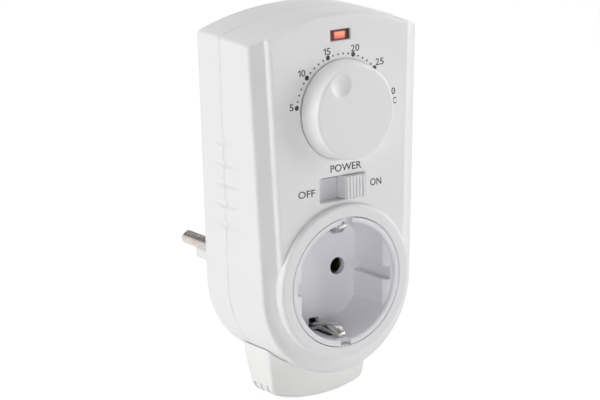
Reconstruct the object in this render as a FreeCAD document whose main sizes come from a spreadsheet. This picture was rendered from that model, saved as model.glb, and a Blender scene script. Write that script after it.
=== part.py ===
import FreeCAD, Part
import Sketcher
import math
import os
import re
from FreeCAD import Placement, Rotation, Vector

# Plug-in thermostat with a round earthed socket.
# Frame: the origin is midway between the two plug pins on the end face of the plug boss.
# The pins point along +Y, the front faces -Y, +X is to the right seen from the front, +Z is up.

os.makedirs("parts", exist_ok=True)
doc = FreeCAD.newDocument("thermostat")
sizes = doc.addObject("Spreadsheet::Sheet", "sizes")
size_names = []
pieces = []


def size(name, value):
    """Write one driving dimension in the sheet and hand its value back."""
    row = len(size_names) + 1
    sizes.set("A%d" % row, name)
    sizes.set("B%d" % row, str(value))
    sizes.setAlias("B%d" % row, name)
    size_names.append(name)
    return value


# Plug and socket standard
pin_spacing = size("pin_spacing", 19.0)
pin_diameter = size("pin_diameter", 4.8)
pin_length = size("pin_length", 19.0)
pin_tip_round = size("pin_tip_round", 1.8)
pin_seat_step = size("pin_seat_step", 0.25)
recess_radius = size("recess_radius", 19.5)
recess_depth = size("recess_depth", 17.5)
recess_flat = size("recess_flat", 16.3)
socket_hole_radius = size("socket_hole_radius", 2.9)

# Case depths, from the back wall forward
boss_length = size("boss_length", 23.6)
case_depth = size("case_depth", 34.1)
rear_depth = size("rear_depth", 12.8)
collar_height = size("collar_height", 1.2)
front_lean = size("front_lean", 2.23)
wall = size("wall", 2.4)

# Outline half widths at the socket axis, and how much they grow per millimetre upwards
back_half = size("back_half", 30.45)
seam_half = size("seam_half", 30.75)
shoulder_half = size("shoulder_half", 29.95)
panel_half = size("panel_half", 24.9)
flare = size("flare", 0.044)

# Front layout, counted upwards from the collar round the socket to the top edge
collar_radius = size("collar_radius", 25.8)
switch_above_collar = size("switch_above_collar", 5.2)
dial_above_switch = size("dial_above_switch", 25.6)
lamp_above_dial = size("lamp_above_dial", 23.95)
top_above_lamp = size("top_above_lamp", 6.65)
switch_height = collar_radius + switch_above_collar
dial_height = switch_height + dial_above_switch
lamp_height = dial_height + lamp_above_dial
front_top = lamp_height + top_above_lamp

# Top edge: how far the seam and the back stay below the front, and the radius of each arc
seam_top_drop = size("seam_top_drop", 0.6)
back_top_drop = size("back_top_drop", 0.55)
front_top_radius = size("front_top_radius", 80.0)
seam_top_radius = size("seam_top_radius", 100.0)
back_top_radius = size("back_top_radius", 100.0)
top_corner = size("top_corner", 1.2)
seam_top = front_top - seam_top_drop
back_top = front_top - back_top_drop

# Steps of the front, measured behind the panel
shoulder_drop = size("shoulder_drop", 3.5)
front_sag = size("front_sag", 1.1)
cove_drop = size("cove_drop", 3.0)
cove_half = size("cove_half", 27.6)
panel_drop = size("panel_drop", 1.9)
rim_round = size("rim_round", 1.1)
edge_break = size("edge_break", 0.5)
seam_groove = size("seam_groove", 0.3)

# Socket insert
insert_radius = size("insert_radius", 21.3)
insert_gap = size("insert_gap", 0.22)
insert_body_radius = size("insert_body_radius", 20.9)
insert_flange_radius = size("insert_flange_radius", 22.2)
insert_floor = size("insert_floor", 2.2)
land_height = size("land_height", 16.5)
land_lead = size("land_lead", 1.2)
land_lead_depth = size("land_lead_depth", 1.1)
guide_groove_width = size("guide_groove_width", 4.4)
guide_groove_depth = size("guide_groove_depth", 2.4)
clip_slot_width = size("clip_slot_width", 4.2)
clip_trough_depth = size("clip_trough_depth", 0.9)
mouth_notch_depth = size("mouth_notch_depth", 2.8)

# Plug boss
boss_radius = size("boss_radius", 19.0)
boss_flat = size("boss_flat", 16.3)
boss_lead = size("boss_lead", 4.0)
boss_lead_depth = size("boss_lead_depth", 2.7)
boss_key_width = size("boss_key_width", 3.2)
boss_key_proud = size("boss_key_proud", 1.7)
boss_bore_margin = size("boss_bore_margin", 1.4)
boss_end_wall = size("boss_end_wall", 3.0)
boss_bore = (pin_spacing + pin_diameter) / 2 + boss_bore_margin

# Dial
knob_radius = size("knob_radius", 16.2)
knob_face_radius = size("knob_face_radius", 15.3)
knob_height = size("knob_height", 7.6)
knob_gap = size("knob_gap", 0.3)
dial_well_lip = size("dial_well_lip", 0.15)
dial_well_depth = size("dial_well_depth", 1.3)
knob_round = size("knob_round", 0.9)
dimple_offset = size("dimple_offset", 11.1)
dimple_radius = size("dimple_radius", 4.0)
dimple_depth = size("dimple_depth", 1.1)
dial_setting = size("dial_setting", -31.5)
shaft_radius = size("shaft_radius", 3.0)
shaft_clearance = size("shaft_clearance", 0.05)
hub_radius = size("hub_radius", 4.6)
hub_clearance = size("hub_clearance", 0.5)

# Power switch window and slider
window_width = size("window_width", 18.4)
window_height = size("window_height", 8.0)
window_depth = size("window_depth", 3.5)
slider_width = size("slider_width", 7.7)
slider_height = size("slider_height", 7.4)
slider_proud = size("slider_proud", 2.0)
slider_travel = size("slider_travel", 8.0)
slider_clearance = size("slider_clearance", 0.3)
rib_count = 6
rib_depth = size("rib_depth", 0.6)

# Lamp window
lamp_width = size("lamp_width", 8.0)
lamp_tall = size("lamp_tall", 3.6)
lens_clearance = size("lens_clearance", 0.12)
lens_recess = size("lens_recess", 0.6)

# Case screws
screw_radius = size("screw_radius", 1.45)
screw_head_radius = size("screw_head_radius", 2.8)
screw_head_height = size("screw_head_height", 2.0)
screw_post_radius = size("screw_post_radius", 2.9)
screw_reach = size("screw_reach", 10.0)
upper_screw_drop = size("upper_screw_drop", 11.2)
upper_screw_inset = size("upper_screw_inset", 7.1)
lower_screw_inset = size("lower_screw_inset", 5.44)
upper_screw_z = front_top - upper_screw_drop
upper_screw_x = seam_half + flare * upper_screw_z - upper_screw_inset
lower_screw_x = (seam_half - lower_screw_inset) * math.cos(math.pi / 4)
lower_screw_z = -lower_screw_x

# Sensor hood
hood_forward = size("hood_forward", 7.8)
hood_depth = size("hood_depth", 14.2)
hood_back_slope = size("hood_back_slope", 13.0)
hood_top_half = size("hood_top_half", 20.7)
hood_bottom_half = size("hood_bottom_half", 18.0)
hood_bottom = size("hood_bottom", 41.9)
hood_bottom_radius = size("hood_bottom_radius", 55.0)
hood_corner = size("hood_corner", 4.0)
hood_wall = size("hood_wall", 1.6)
slit_pitch = size("slit_pitch", 3.4)
hood_gap = size("hood_gap", 0.2)
neck_half = size("neck_half", 4.6)
neck_clearance = size("neck_clearance", 0.15)

# Control board, held off the back wall
board_standoff = size("board_standoff", 11.5)
board_thickness = size("board_thickness", 1.6)
board_half = size("board_half", 23.4)
board_below_switch = size("board_below_switch", 5.0)
board_below_top = size("board_below_top", 6.7)
board_post_radius = size("board_post_radius", 2.5)
board_post_inset = size("board_post_inset", 3.2)
board_post_rise = size("board_post_rise", 7.0)
board_post_fall = size("board_post_fall", 8.0)
board_screw_radius = size("board_screw_radius", 1.1)
board_drop = case_depth - board_standoff
board_bottom = switch_height - board_below_switch
board_top = front_top - board_below_top

# Parts on the board
pot_radius = size("pot_radius", 8.4)
pot_thickness = size("pot_thickness", 9.0)
relay_width = size("relay_width", 14.0)
relay_depth = size("relay_depth", 15.0)
relay_tall = size("relay_tall", 18.0)
film_width = size("film_width", 8.5)
film_depth = size("film_depth", 14.5)
film_tall = size("film_tall", 17.5)
can_radius = size("can_radius", 4.0)
can_length = size("can_length", 12.0)
disc_radius = size("disc_radius", 4.2)
disc_thickness = size("disc_thickness", 3.4)
chip_width = size("chip_width", 6.4)
chip_depth = size("chip_depth", 3.4)
chip_tall = size("chip_tall", 9.4)
resistor_radius = size("resistor_radius", 1.1)
resistor_length = size("resistor_length", 6.0)
resistor_pitch = size("resistor_pitch", 2.8)
diode_radius = size("diode_radius", 1.3)
diode_length = size("diode_length", 4.6)
diode_pitch = size("diode_pitch", 3.6)
part_gap = size("part_gap", 2.5)

# Sheet metal and wires
strip_thickness = size("strip_thickness", 0.8)
clip_width = size("clip_width", 3.6)
earth_strip_width = size("earth_strip_width", 6.0)
leaf_thickness = size("leaf_thickness", 0.6)
leaf_height = size("leaf_height", 6.0)
wire_radius = size("wire_radius", 1.0)
lead_radius = size("lead_radius", 0.4)

back_y = -boss_length
seam_y = back_y - rear_depth
panel_y = back_y - case_depth
collar_y = panel_y - collar_height
floor_y = collar_y + recess_depth
insert_back_y = floor_y + insert_floor
pin_x = pin_spacing / 2
lean = Rotation(Vector(1, 0, 0), -front_lean)
panel_frame = Placement(Vector(0, panel_y, 0), lean)


def formula(text):
    """Point every size named in a formula at its cell in the sheet."""
    def cell(word):
        return "sizes." + word.group() if word.group() in size_names else word.group()
    return re.sub(r"[a-z][a-z_]*[a-z]", cell, text)


def bind(item, **formulas):
    """Tie properties of an object to formulas of the sizes."""
    for prop, text in formulas.items():
        item.setExpression(prop, formula(text))
    return item


def finish(item, name):
    """Name a finished piece and put it on the list of files."""
    item.Label = name
    pieces.append((name, item))
    return item


# Primitive solids

ALONG = {"X": Rotation(Vector(0, 1, 0), 90), "Y": Rotation(Vector(1, 0, 0), -90), "Z": Rotation()}


def rod(name, radius, length, at, along="Y", frame=Placement()):
    """A cylinder that starts at a point and runs along an axis."""
    item = doc.addObject("Part::Cylinder", name)
    bind(item, Radius=radius, Height=length)
    item.Placement = frame.multiply(Placement(Vector(*at), ALONG[along]))
    return item


def block(name, length, depth, height, at, frame=Placement(), turn=Rotation()):
    """A box with its low corner at a point."""
    item = doc.addObject("Part::Box", name)
    bind(item, Length=length, Width=depth, Height=height)
    item.Placement = frame.multiply(Placement(Vector(*at), turn))
    return item


def ball(name, radius, at, frame=Placement()):
    """A full sphere about a point."""
    item = doc.addObject("Part::Sphere", name)
    bind(item, Radius=radius)
    item.Placement = frame.multiply(Placement(Vector(*at), Rotation()))
    return item


def stretched_ball(name, reach, at):
    """A ball stretched to its own reach along X, Y and Z."""
    item = doc.addObject("Part::Ellipsoid", name)
    bind(item, Radius1=str(reach[2]), Radius2=str(reach[0]), Radius3=str(reach[1]))
    item.Placement = Placement(Vector(*at), Rotation())
    return item


def join(name, items):
    """Several solids fused into one piece, or kept as a group where they lie apart."""
    item = doc.addObject("Part::MultiFuse", name)
    item.Shapes = items
    return item


def cut(name, base, tools):
    """A solid with other solids taken away."""
    item = doc.addObject("Part::Cut", name)
    item.Base = base
    item.Tool = tools[0] if len(tools) == 1 else join(name + "_tools", tools)
    return item


# Bodies and sketches

def new_body(name):
    """An empty body for a piece that is padded, lofted and pocketed."""
    return doc.addObject("PartDesign::Body", name)


def sketch_on(body, name, role, offset=Placement()):
    """A sketch on one of the body's own origin planes, moved off it by a placement."""
    sketch = body.newObject("Sketcher::SketchObject", name)
    plane = next(item for item in body.Origin.OriginFeatures if item.Role == role)
    sketch.AttachmentSupport = [(plane, "")]
    sketch.MapMode = "FlatFace"
    sketch.AttachmentOffset = offset
    return sketch


def upright(body, name, y):
    """A sketch seen from the front, parallel to the wall, at a depth y."""
    return sketch_on(body, name, "XZ_Plane", Placement(Vector(0, 0, -y), Rotation()))


def leaning(body, name, drop):
    """A sketch seen from the front, parallel to the leaning panel and a drop behind it."""
    on_panel = Placement(Vector(0, 0, -panel_y), Rotation(Vector(1, 0, 0), -front_lean))
    return sketch_on(body, name, "XZ_Plane", on_panel.multiply(Placement(Vector(0, 0, -drop), Rotation())))


def trace(sketch, edges):
    """Draw a closed chain of lines and arcs."""
    first = sketch.addGeometry(edges[0])
    last = first
    for edge in edges[1:]:
        last = sketch.addGeometry(edge)
    return first, last


def arc(centre, radius, start, end):
    """An anticlockwise arc between two points on a circle."""
    start_angle = math.atan2(start[1] - centre[1], start[0] - centre[0])
    end_angle = math.atan2(end[1] - centre[1], end[0] - centre[0])
    if end_angle <= start_angle:
        end_angle += 2 * math.pi
    circle = Part.Circle(Vector(centre[0], centre[1], 0), Vector(0, 0, 1), radius)
    return Part.ArcOfCircle(circle, start_angle, end_angle)


def line(start, end):
    """A straight edge between two points of a sketch."""
    return Part.LineSegment(Vector(start[0], start[1], 0), Vector(end[0], end[1], 0))


def polygon(sketch, points):
    """A closed figure of straight edges."""
    trace(sketch, [line(points[i - 1], points[i]) for i in range(len(points))])


def rectangle(sketch, x, z, width, height):
    """A rectangle about its middle."""
    polygon(sketch, [(x - width / 2, z - height / 2), (x + width / 2, z - height / 2),
                     (x + width / 2, z + height / 2), (x - width / 2, z + height / 2)])


def ring(sketch, x, z, radius):
    """A circle at a fixed centre with its radius bound to a formula."""
    index = sketch.addGeometry(Part.Circle(Vector(x, z, 0), Vector(0, 0, 1), 1.0))
    if abs(x) < 1e-6:
        sketch.addConstraint(Sketcher.Constraint("PointOnObject", index, 3, -2))
    else:
        sketch.addConstraint(Sketcher.Constraint("DistanceX", -1, 1, index, 3, x))
    if abs(z) < 1e-6:
        sketch.addConstraint(Sketcher.Constraint("PointOnObject", index, 3, -1))
    else:
        sketch.addConstraint(Sketcher.Constraint("DistanceY", -1, 1, index, 3, z))
    place = sketch.addConstraint(Sketcher.Constraint("Radius", index, 1.0))
    sketch.setExpression("Constraints[%d]" % place, formula(radius))


def outline(sketch, half, top, top_radius, corner, sag=0.0):
    """The case outline: round below the socket, sides that spread upwards, an arched top."""
    spread = math.atan(flare)
    bottom_radius = (half - flare * sag) * math.cos(spread)
    low = (bottom_radius * math.cos(spread), -sag - bottom_radius * math.sin(spread))
    arch = top - top_radius
    inset = half - corner / math.cos(spread)
    a = 1 + flare ** 2
    b = flare * inset - arch
    c = inset ** 2 + arch ** 2 - (top_radius - corner) ** 2
    corner_z = (-b + math.sqrt(b ** 2 - a * c)) / a
    corner_x = inset + flare * corner_z
    side = (corner_x + corner * math.cos(spread), corner_z - corner * math.sin(spread))
    reach = top_radius / (top_radius - corner)
    crest = (corner_x * reach, arch + (corner_z - arch) * reach)

    def mirrored(point):
        return (-point[0], point[1])

    trace(sketch, [arc((0, -sag), bottom_radius, mirrored(low), low),
                   line(low, side),
                   arc((corner_x, corner_z), corner, side, crest),
                   arc((0, arch), top_radius, crest, mirrored(crest)),
                   arc((-corner_x, corner_z), corner, mirrored(crest), mirrored(side)),
                   line(mirrored(side), mirrored(low))])


def flatted_circle(sketch, radius, flat):
    """A circle with a flat on its left and right."""
    half = math.sqrt(radius ** 2 - flat ** 2)
    trace(sketch, [line((flat, -half), (flat, half)), arc((0, 0), radius, (flat, half), (-flat, half)),
                   line((-flat, half), (-flat, -half)), arc((0, 0), radius, (-flat, -half), (flat, -half))])


def segment(sketch, radius, flat, side):
    """The piece of a disc that lies beyond a chord, on the right or the left."""
    x = side * flat
    half = side * math.sqrt(radius ** 2 - flat ** 2)
    trace(sketch, [arc((0, 0), radius, (x, -half), (x, half)), line((x, half), (x, -half))])


def pad(body, name, sketch, length, backwards=False, midplane=False):
    """Material raised from a sketch."""
    item = body.newObject("PartDesign::Pad", name)
    item.Profile = sketch
    bind(item, Length=length)
    item.Reversed = backwards
    item.Midplane = midplane
    return item


def pocket(body, name, sketch, length, forwards=False):
    """Material taken away from a sketch towards the wall, or towards the front."""
    item = body.newObject("PartDesign::Pocket", name)
    item.Profile = sketch
    bind(item, Length=length)
    item.Reversed = forwards
    return item


def loft(body, name, sections):
    """Flat-sided skin through sketches with as many edges each."""
    item = body.newObject("PartDesign::AdditiveLoft", name)
    item.Profile = sections[0]
    item.Sections = sections[1:]
    item.Ruled = True
    return item


def round_edges(body, name, radius, wanted):
    """Fillet the edges of the body so far that pass a test."""
    doc.recompute()
    base = body.Tip
    edges = ["Edge%d" % (i + 1) for i, edge in enumerate(base.Shape.Edges) if wanted(edge)]
    item = body.newObject("PartDesign::Fillet", name)
    item.Base = (base, edges)
    bind(item, Radius=radius)
    return item


def lies_on(edge, origin, normal):
    """True for an edge that lies in a plane."""
    ends = [edge.valueAt(edge.FirstParameter), edge.valueAt(edge.LastParameter)]
    ends.append(edge.valueAt((edge.FirstParameter + edge.LastParameter) / 2))
    return all(abs((point - origin).dot(normal)) < 1e-4 for point in ends)


def mitred(points, thickness):
    """The outline of a bent strip of even thickness that follows a chain of points."""
    left, right = [], []
    for i, (x, y) in enumerate(points):
        before = points[max(i - 1, 0)] if i else None
        after = points[i + 1] if i + 1 < len(points) else None
        directions = []
        for start, end in ((before, (x, y)), ((x, y), after)):
            if start and end:
                run = math.hypot(end[0] - start[0], end[1] - start[1])
                directions.append(((end[0] - start[0]) / run, (end[1] - start[1]) / run))
        nx = -sum(d[1] for d in directions)
        ny = sum(d[0] for d in directions)
        scale = math.hypot(nx, ny)
        nx, ny = nx / scale, ny / scale
        reach = thickness / 2 / (nx * -directions[0][1] + ny * directions[0][0])
        left.append((x + nx * reach, y + ny * reach))
        right.append((x - nx * reach, y - ny * reach))
    return left + right[::-1]


def bent_strip(name, role, offset, points, thickness, width):
    """A strip of sheet metal bent along a chain of points, as wide as a formula says."""
    body = new_body(name)
    sketch = sketch_on(body, name + "_bend", role, Placement(Vector(0, 0, offset), Rotation()))
    polygon(sketch, mitred(points, thickness))
    pad(body, name + "_strip", sketch, width, midplane=True)
    return body


def tube(name, points, radius, frame=Placement()):
    """A wire along straight runs joined by tangent arcs."""
    corners = [Vector(*point) for point in points]
    edges = []
    start = corners[0]
    for before, corner, after in zip(corners, corners[1:], corners[2:]):
        arriving = (corner - before).normalize()
        leaving = (after - corner).normalize()
        turn = arriving.getAngle(leaving)
        trim = 0.45 * min(before.distanceToPoint(corner), corner.distanceToPoint(after))
        bend_in = corner - arriving * trim
        bend_out = corner + leaving * trim
        middle_way = (leaving - arriving).normalize()
        bend_radius = trim / math.tan(turn / 2)
        centre = corner + middle_way * (bend_radius / math.cos(turn / 2))
        middle = centre - middle_way * bend_radius
        edges.append(Part.LineSegment(start, bend_in).toShape())
        edges.append(Part.Arc(bend_in, middle, bend_out).toShape())
        start = bend_out
    edges.append(Part.LineSegment(start, corners[-1]).toShape())
    path = Part.Wire(edges)
    heading = (corners[1] - corners[0]).normalize()
    section = Part.Wire([Part.Circle(corners[0], heading, radius).toShape()])
    solid = path.makePipeShell([section], True, False)
    item = doc.addObject("Part::Feature", name)
    item.Shape = solid
    item.Placement = frame
    return item


# Front cover: one moulded shell with a leaning raised panel, a cove round it and the socket collar.
front = new_body("front_cover_body")
front_sections = []
for tag, y, half in (("lip", seam_y, seam_half - seam_groove), ("seam", seam_y - seam_groove, seam_half)):
    section = upright(front, "front_" + tag, y)
    outline(section, half, seam_top - seam_half + half, seam_top_radius, top_corner)
    front_sections.append(section)
for tag, drop, half, top, sag in (("shoulder", shoulder_drop + edge_break, shoulder_half, front_top, front_sag),
                                  ("shoulder_edge", shoulder_drop, shoulder_half - edge_break,
                                   front_top - 0.1, front_sag),
                                  ("cove", cove_drop, cove_half, front_top - 0.15, front_sag / 2),
                                  ("panel_foot", panel_drop, panel_half, front_top - 0.2, 0.0),
                                  ("panel", 0.0, panel_half - edge_break, front_top - 0.3, 0.0)):
    section = leaning(front, "front_" + tag, drop)
    outline(section, half, top, front_top_radius, top_corner, sag)
    front_sections.append(section)
loft(front, "front_shell", front_sections)
straight_back = Vector(0, 1, 0)
panel_point = Vector(0, panel_y, 0)
panel_normal = lean.multVec(straight_back)
round_edges(front, "panel_rim", "rim_round", lambda edge: lies_on(edge, panel_point, panel_normal))

cavity_drop = shoulder_drop + wall
cavity = leaning(front, "front_cavity_outline", cavity_drop)
outline(cavity, shoulder_half - wall, front_top - wall - 0.2, front_top_radius, top_corner)
pocket(front, "front_cavity", cavity, "case_depth")
panel_cavity = leaning(front, "panel_cavity_outline", wall)
outline(panel_cavity, panel_half - wall - edge_break, front_top - wall - 0.6, front_top_radius, top_corner)
pocket(front, "panel_cavity", panel_cavity, "shoulder_drop + wall")

collar = upright(front, "collar_outline", collar_y)
ring(collar, 0, 0, "collar_radius")
pad(front, "collar", collar, "shoulder_drop + 2 * collar_height", backwards=True)
collar_point = Vector(0, collar_y, 0)
round_edges(front, "collar_round", "rim_round", lambda edge: lies_on(edge, collar_point, straight_back))
hole = upright(front, "insert_hole_outline", collar_y)
ring(hole, 0, 0, "insert_radius + insert_gap")
pocket(front, "insert_hole", hole, "case_depth")

frame_around = leaning(front, "switch_frame_outline", window_depth)
rectangle(frame_around, 0, switch_height, window_width + 2 * wall, window_height + 2 * wall)
pad(front, "switch_frame", frame_around, "window_depth - wall / 2")
posts = upright(front, "lower_post_outline", seam_y)
for side in (-1, 1):
    ring(posts, side * lower_screw_x, lower_screw_z, "screw_post_radius")
pad(front, "lower_posts", posts, "case_depth - rear_depth - shoulder_drop - wall / 2")
posts = upright(front, "upper_post_outline", seam_y)
for side in (-1, 1):
    ring(posts, side * upper_screw_x, upper_screw_z, "screw_post_radius")
pad(front, "upper_posts", posts, "case_depth - rear_depth - shoulder_drop - wall * 2")
post_x = board_half - board_post_inset
low_post_z = board_bottom + board_post_rise
board_post_places = [(-post_x, low_post_z), (post_x, low_post_z), (0.0, board_top - board_post_fall)]
posts = leaning(front, "board_post_outline", board_drop)
for x, z in board_post_places:
    ring(posts, x, z, "board_post_radius")
pad(front, "board_posts", posts, "case_depth - board_standoff - wall / 2")
bores = leaning(front, "board_bore_outline", board_drop)
for x, z in board_post_places:
    ring(bores, x, z, "board_screw_radius")
pocket(front, "board_bores", bores, "screw_reach * 0.7", forwards=True)
bores = upright(front, "screw_bore_outline", seam_y)
for side in (-1, 1):
    ring(bores, side * lower_screw_x, lower_screw_z, "screw_radius")
    ring(bores, side * upper_screw_x, upper_screw_z, "screw_radius")
pocket(front, "screw_bores", bores, "screw_reach + 1", forwards=True)
windows = leaning(front, "window_outline", -1.0)
rectangle(windows, 0, switch_height, window_width, window_height)
rectangle(windows, 0, lamp_height, lamp_width, lamp_tall)
ring(windows, 0, dial_height, "hub_radius + hub_clearance")
pocket(front, "windows", windows, "window_depth + wall")
well = leaning(front, "dial_well_outline", 0.0)
ring(well, 0, dial_height, "knob_radius - dial_well_lip")
pocket(front, "dial_well", well, "dial_well_depth")

# Grip notches: five shallow scoops pressed into each side across the parting line.
grip_count = 5
grip_pitch = size("grip_pitch", 6.8)
grip_low = size("grip_low", 19.0)
grip_depth = size("grip_depth", 0.6)
grip_reach = size("grip_reach", 10.0)
grip_shift = size("grip_shift", 1.8)
grip_half = size("grip_half", 1.3)
grip_ball = 2.0
grip_spread = 1 / math.sqrt(1 - (1 - grip_depth / grip_ball) ** 2)
seam_bite = 0.15
seam_spread = 0.6


def grips(name):
    """Stretched balls that bite into both sides, each with a thin one that deepens the parting line."""
    scoops = []
    for side in (-1, 1):
        for i in range(grip_count):
            z = grip_low + i * grip_pitch
            x = side * (seam_half + flare * z - grip_depth + grip_ball)
            tag = "%s_%d_%d" % (name, side + 1, i)
            scoops.append(stretched_ball(tag, (grip_ball, grip_reach * grip_spread, grip_half * grip_spread),
                                         (x, seam_y - grip_shift, z)))
            scoops.append(stretched_ball(tag + "_line", (grip_ball + seam_bite, seam_spread,
                                                         grip_half * grip_spread), (x, seam_y, z)))
    return scoops


neck_reach = size("neck_reach", 4.0)
neck_front_y = seam_y - neck_reach
neck_gate_half = neck_half + neck_clearance
front_gate = block("front_neck_gate", "2 * neck_half + 2 * neck_clearance", "neck_reach + neck_clearance",
                   "6", (-neck_gate_half, neck_front_y - neck_clearance, -seam_half - 2))
front_cuts = grips("front_grip") + [front_gate]
finish(cut("front_cover_cut", front, front_cuts), "front_cover")

# Rear cover: the back shell with the long plug boss.
rear = new_body("rear_cover_body")
rear_sections = []
lip_half = seam_half - seam_groove
lip_top = seam_top - seam_groove
for tag, y, half, top, radius in (("back", back_y, back_half, back_top, back_top_radius),
                                  ("seam", seam_y + seam_groove, seam_half, seam_top, seam_top_radius),
                                  ("lip", seam_y, lip_half, lip_top, seam_top_radius)):
    section = upright(rear, "rear_" + tag, y)
    outline(section, half, top, radius, top_corner)
    rear_sections.append(section)
loft(rear, "rear_shell", rear_sections)
back_point = Vector(0, back_y, 0)
round_edges(rear, "back_round", "edge_break", lambda edge: lies_on(edge, back_point, straight_back))
boss_sections = []
for tag, y, shrink in (("root", back_y - wall / 2, 0.0),
                       ("shoulder", -boss_lead, 0.0),
                       ("end", 0.0, boss_lead_depth)):
    section = upright(rear, "boss_" + tag, y)
    flatted_circle(section, boss_radius - shrink, boss_flat - shrink)
    boss_sections.append(section)
loft(rear, "boss", boss_sections)
keys = upright(rear, "boss_key_outline", 0.0)
for side in (-1, 1):
    rectangle(keys, side * (boss_flat - boss_lead_depth + boss_key_proud / 2), 0,
              2 * boss_lead_depth + boss_key_proud, boss_key_width)
pad(rear, "boss_keys", keys, "boss_length / 2")
cavity = upright(rear, "rear_cavity_outline", seam_y)
outline(cavity, seam_half - wall, seam_top - wall, seam_top_radius, top_corner)
pocket(rear, "rear_cavity", cavity, "rear_depth - wall")
bore = upright(rear, "boss_bore_outline", seam_y)
ring(bore, 0, 0, "pin_spacing / 2 + pin_diameter / 2 + boss_bore_margin")
pocket(rear, "boss_bore", bore, "rear_depth + boss_length - boss_end_wall")
posts = upright(rear, "rear_post_outline", seam_y)
for side in (-1, 1):
    ring(posts, side * lower_screw_x, lower_screw_z, "screw_post_radius + wall / 4")
    ring(posts, side * upper_screw_x, upper_screw_z, "screw_post_radius + wall / 4")
pad(rear, "rear_posts", posts, "rear_depth - wall / 2", backwards=True)
holes = upright(rear, "rear_screw_outline", seam_y)
heads = upright(rear, "rear_head_outline", back_y)
for side in (-1, 1):
    for x, z in ((lower_screw_x, lower_screw_z), (upper_screw_x, upper_screw_z)):
        ring(holes, side * x, z, "screw_radius + 0.2")
        ring(heads, side * x, z, "screw_head_radius + 0.2")
pocket(rear, "rear_screw_holes", holes, "rear_depth")
pocket(rear, "rear_screw_heads", heads, "rear_depth / 2", forwards=True)
holes = upright(rear, "pin_hole_outline", -boss_end_wall)
for side in (-1, 1):
    ring(holes, side * pin_x, 0, "pin_diameter / 2 + pin_seat_step")
pocket(rear, "pin_holes", holes, "boss_end_wall")
channel_end = back_y + 3.9
channel_play = 0.3
channel_half = (earth_strip_width + channel_play) / 2
overshoot = 2.0
earth_channels = []
for side in (-1, 1):
    tall = overshoot + strip_thickness + channel_play
    low = boss_radius + overshoot - tall if side > 0 else -boss_radius - overshoot
    earth_channels.append(block("earth_channel_%d" % (side + 1), str(2 * channel_half), str(-channel_end),
                                str(tall), (-channel_half, channel_end, low)))
    tall = boss_radius - boss_bore + overshoot + 1
    low = boss_bore - 1 if side > 0 else -boss_radius - overshoot
    gate_y = channel_end - strip_thickness / 2 - channel_play
    earth_channels.append(block("earth_gate_%d" % (side + 1), str(2 * channel_half),
                                str(strip_thickness + 2 * channel_play), str(tall),
                                (-channel_half, gate_y, low)))
rear_gate = block("rear_neck_gate", "2 * neck_half + 2 * neck_clearance", "neck_reach + neck_clearance",
                  "6", (-neck_gate_half, seam_y, -seam_half - 2))
rear_cuts = grips("rear_grip") + earth_channels + [rear_gate]
finish(cut("rear_cover_cut", rear, rear_cuts), "rear_cover")

# Sensor hood: a slotted pocket below the socket that keeps the probe in the room's air.
hood = new_body("sensor_hood_body")
hood_front_y = seam_y - hood_forward
hood_seat = seam_half + hood_gap
hood_top_z = -math.sqrt(hood_seat ** 2 - hood_top_half ** 2)


def hood_outline(sketch, inset, top_radius):
    """The hood seen from the front: an arched top that follows the case, a bowed bottom, round corners."""
    top_half = hood_top_half - inset
    corner = hood_corner - inset
    bow = hood_bottom_radius - inset
    bow_z = hood_bottom_radius - hood_bottom
    top_z = -math.sqrt(top_radius ** 2 - top_half ** 2)
    lean_x = hood_bottom_half - hood_top_half
    lean_z = -hood_bottom - hood_top_z
    run = math.hypot(lean_x, lean_z)
    way = (lean_x / run, lean_z / run)
    inward = (way[1], -way[0])
    start = (top_half + inward[0] * corner, top_z + inward[1] * corner)
    b = start[0] * way[0] + (start[1] - bow_z) * way[1]
    c = start[0] ** 2 + (start[1] - bow_z) ** 2 - (bow - corner) ** 2
    along = -b + math.sqrt(b ** 2 - c)
    middle = (start[0] + way[0] * along, start[1] + way[1] * along)
    side = (middle[0] - inward[0] * corner, middle[1] - inward[1] * corner)
    reach = bow / (bow - corner)
    foot = (middle[0] * reach, bow_z + (middle[1] - bow_z) * reach)

    def mirrored(point):
        return (-point[0], point[1])

    trace(sketch, [arc((0, 0), top_radius, (-top_half, top_z), (top_half, top_z)),
                   line((top_half, top_z), side),
                   arc(middle, corner, foot, side),
                   arc((0, bow_z), bow, mirrored(foot), foot),
                   arc(mirrored(middle), corner, mirrored(side), mirrored(foot)),
                   line(mirrored(side), (-top_half, top_z))])


shell = upright(hood, "hood_outline", hood_front_y)
hood_outline(shell, 0.0, hood_seat)
pad(hood, "hood_block", shell, "hood_depth", backwards=True)
hood_back_y = hood_front_y + hood_depth


def hood_rim(edge):
    """True for the side and bottom edges of the hood's two broad faces."""
    on_face = (lies_on(edge, Vector(0, hood_front_y, 0), Vector(0, 1, 0))
               or lies_on(edge, Vector(0, hood_back_y, 0), Vector(0, 1, 0)))
    return on_face and edge.BoundBox.ZMin < -hood_seat - 1


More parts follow.
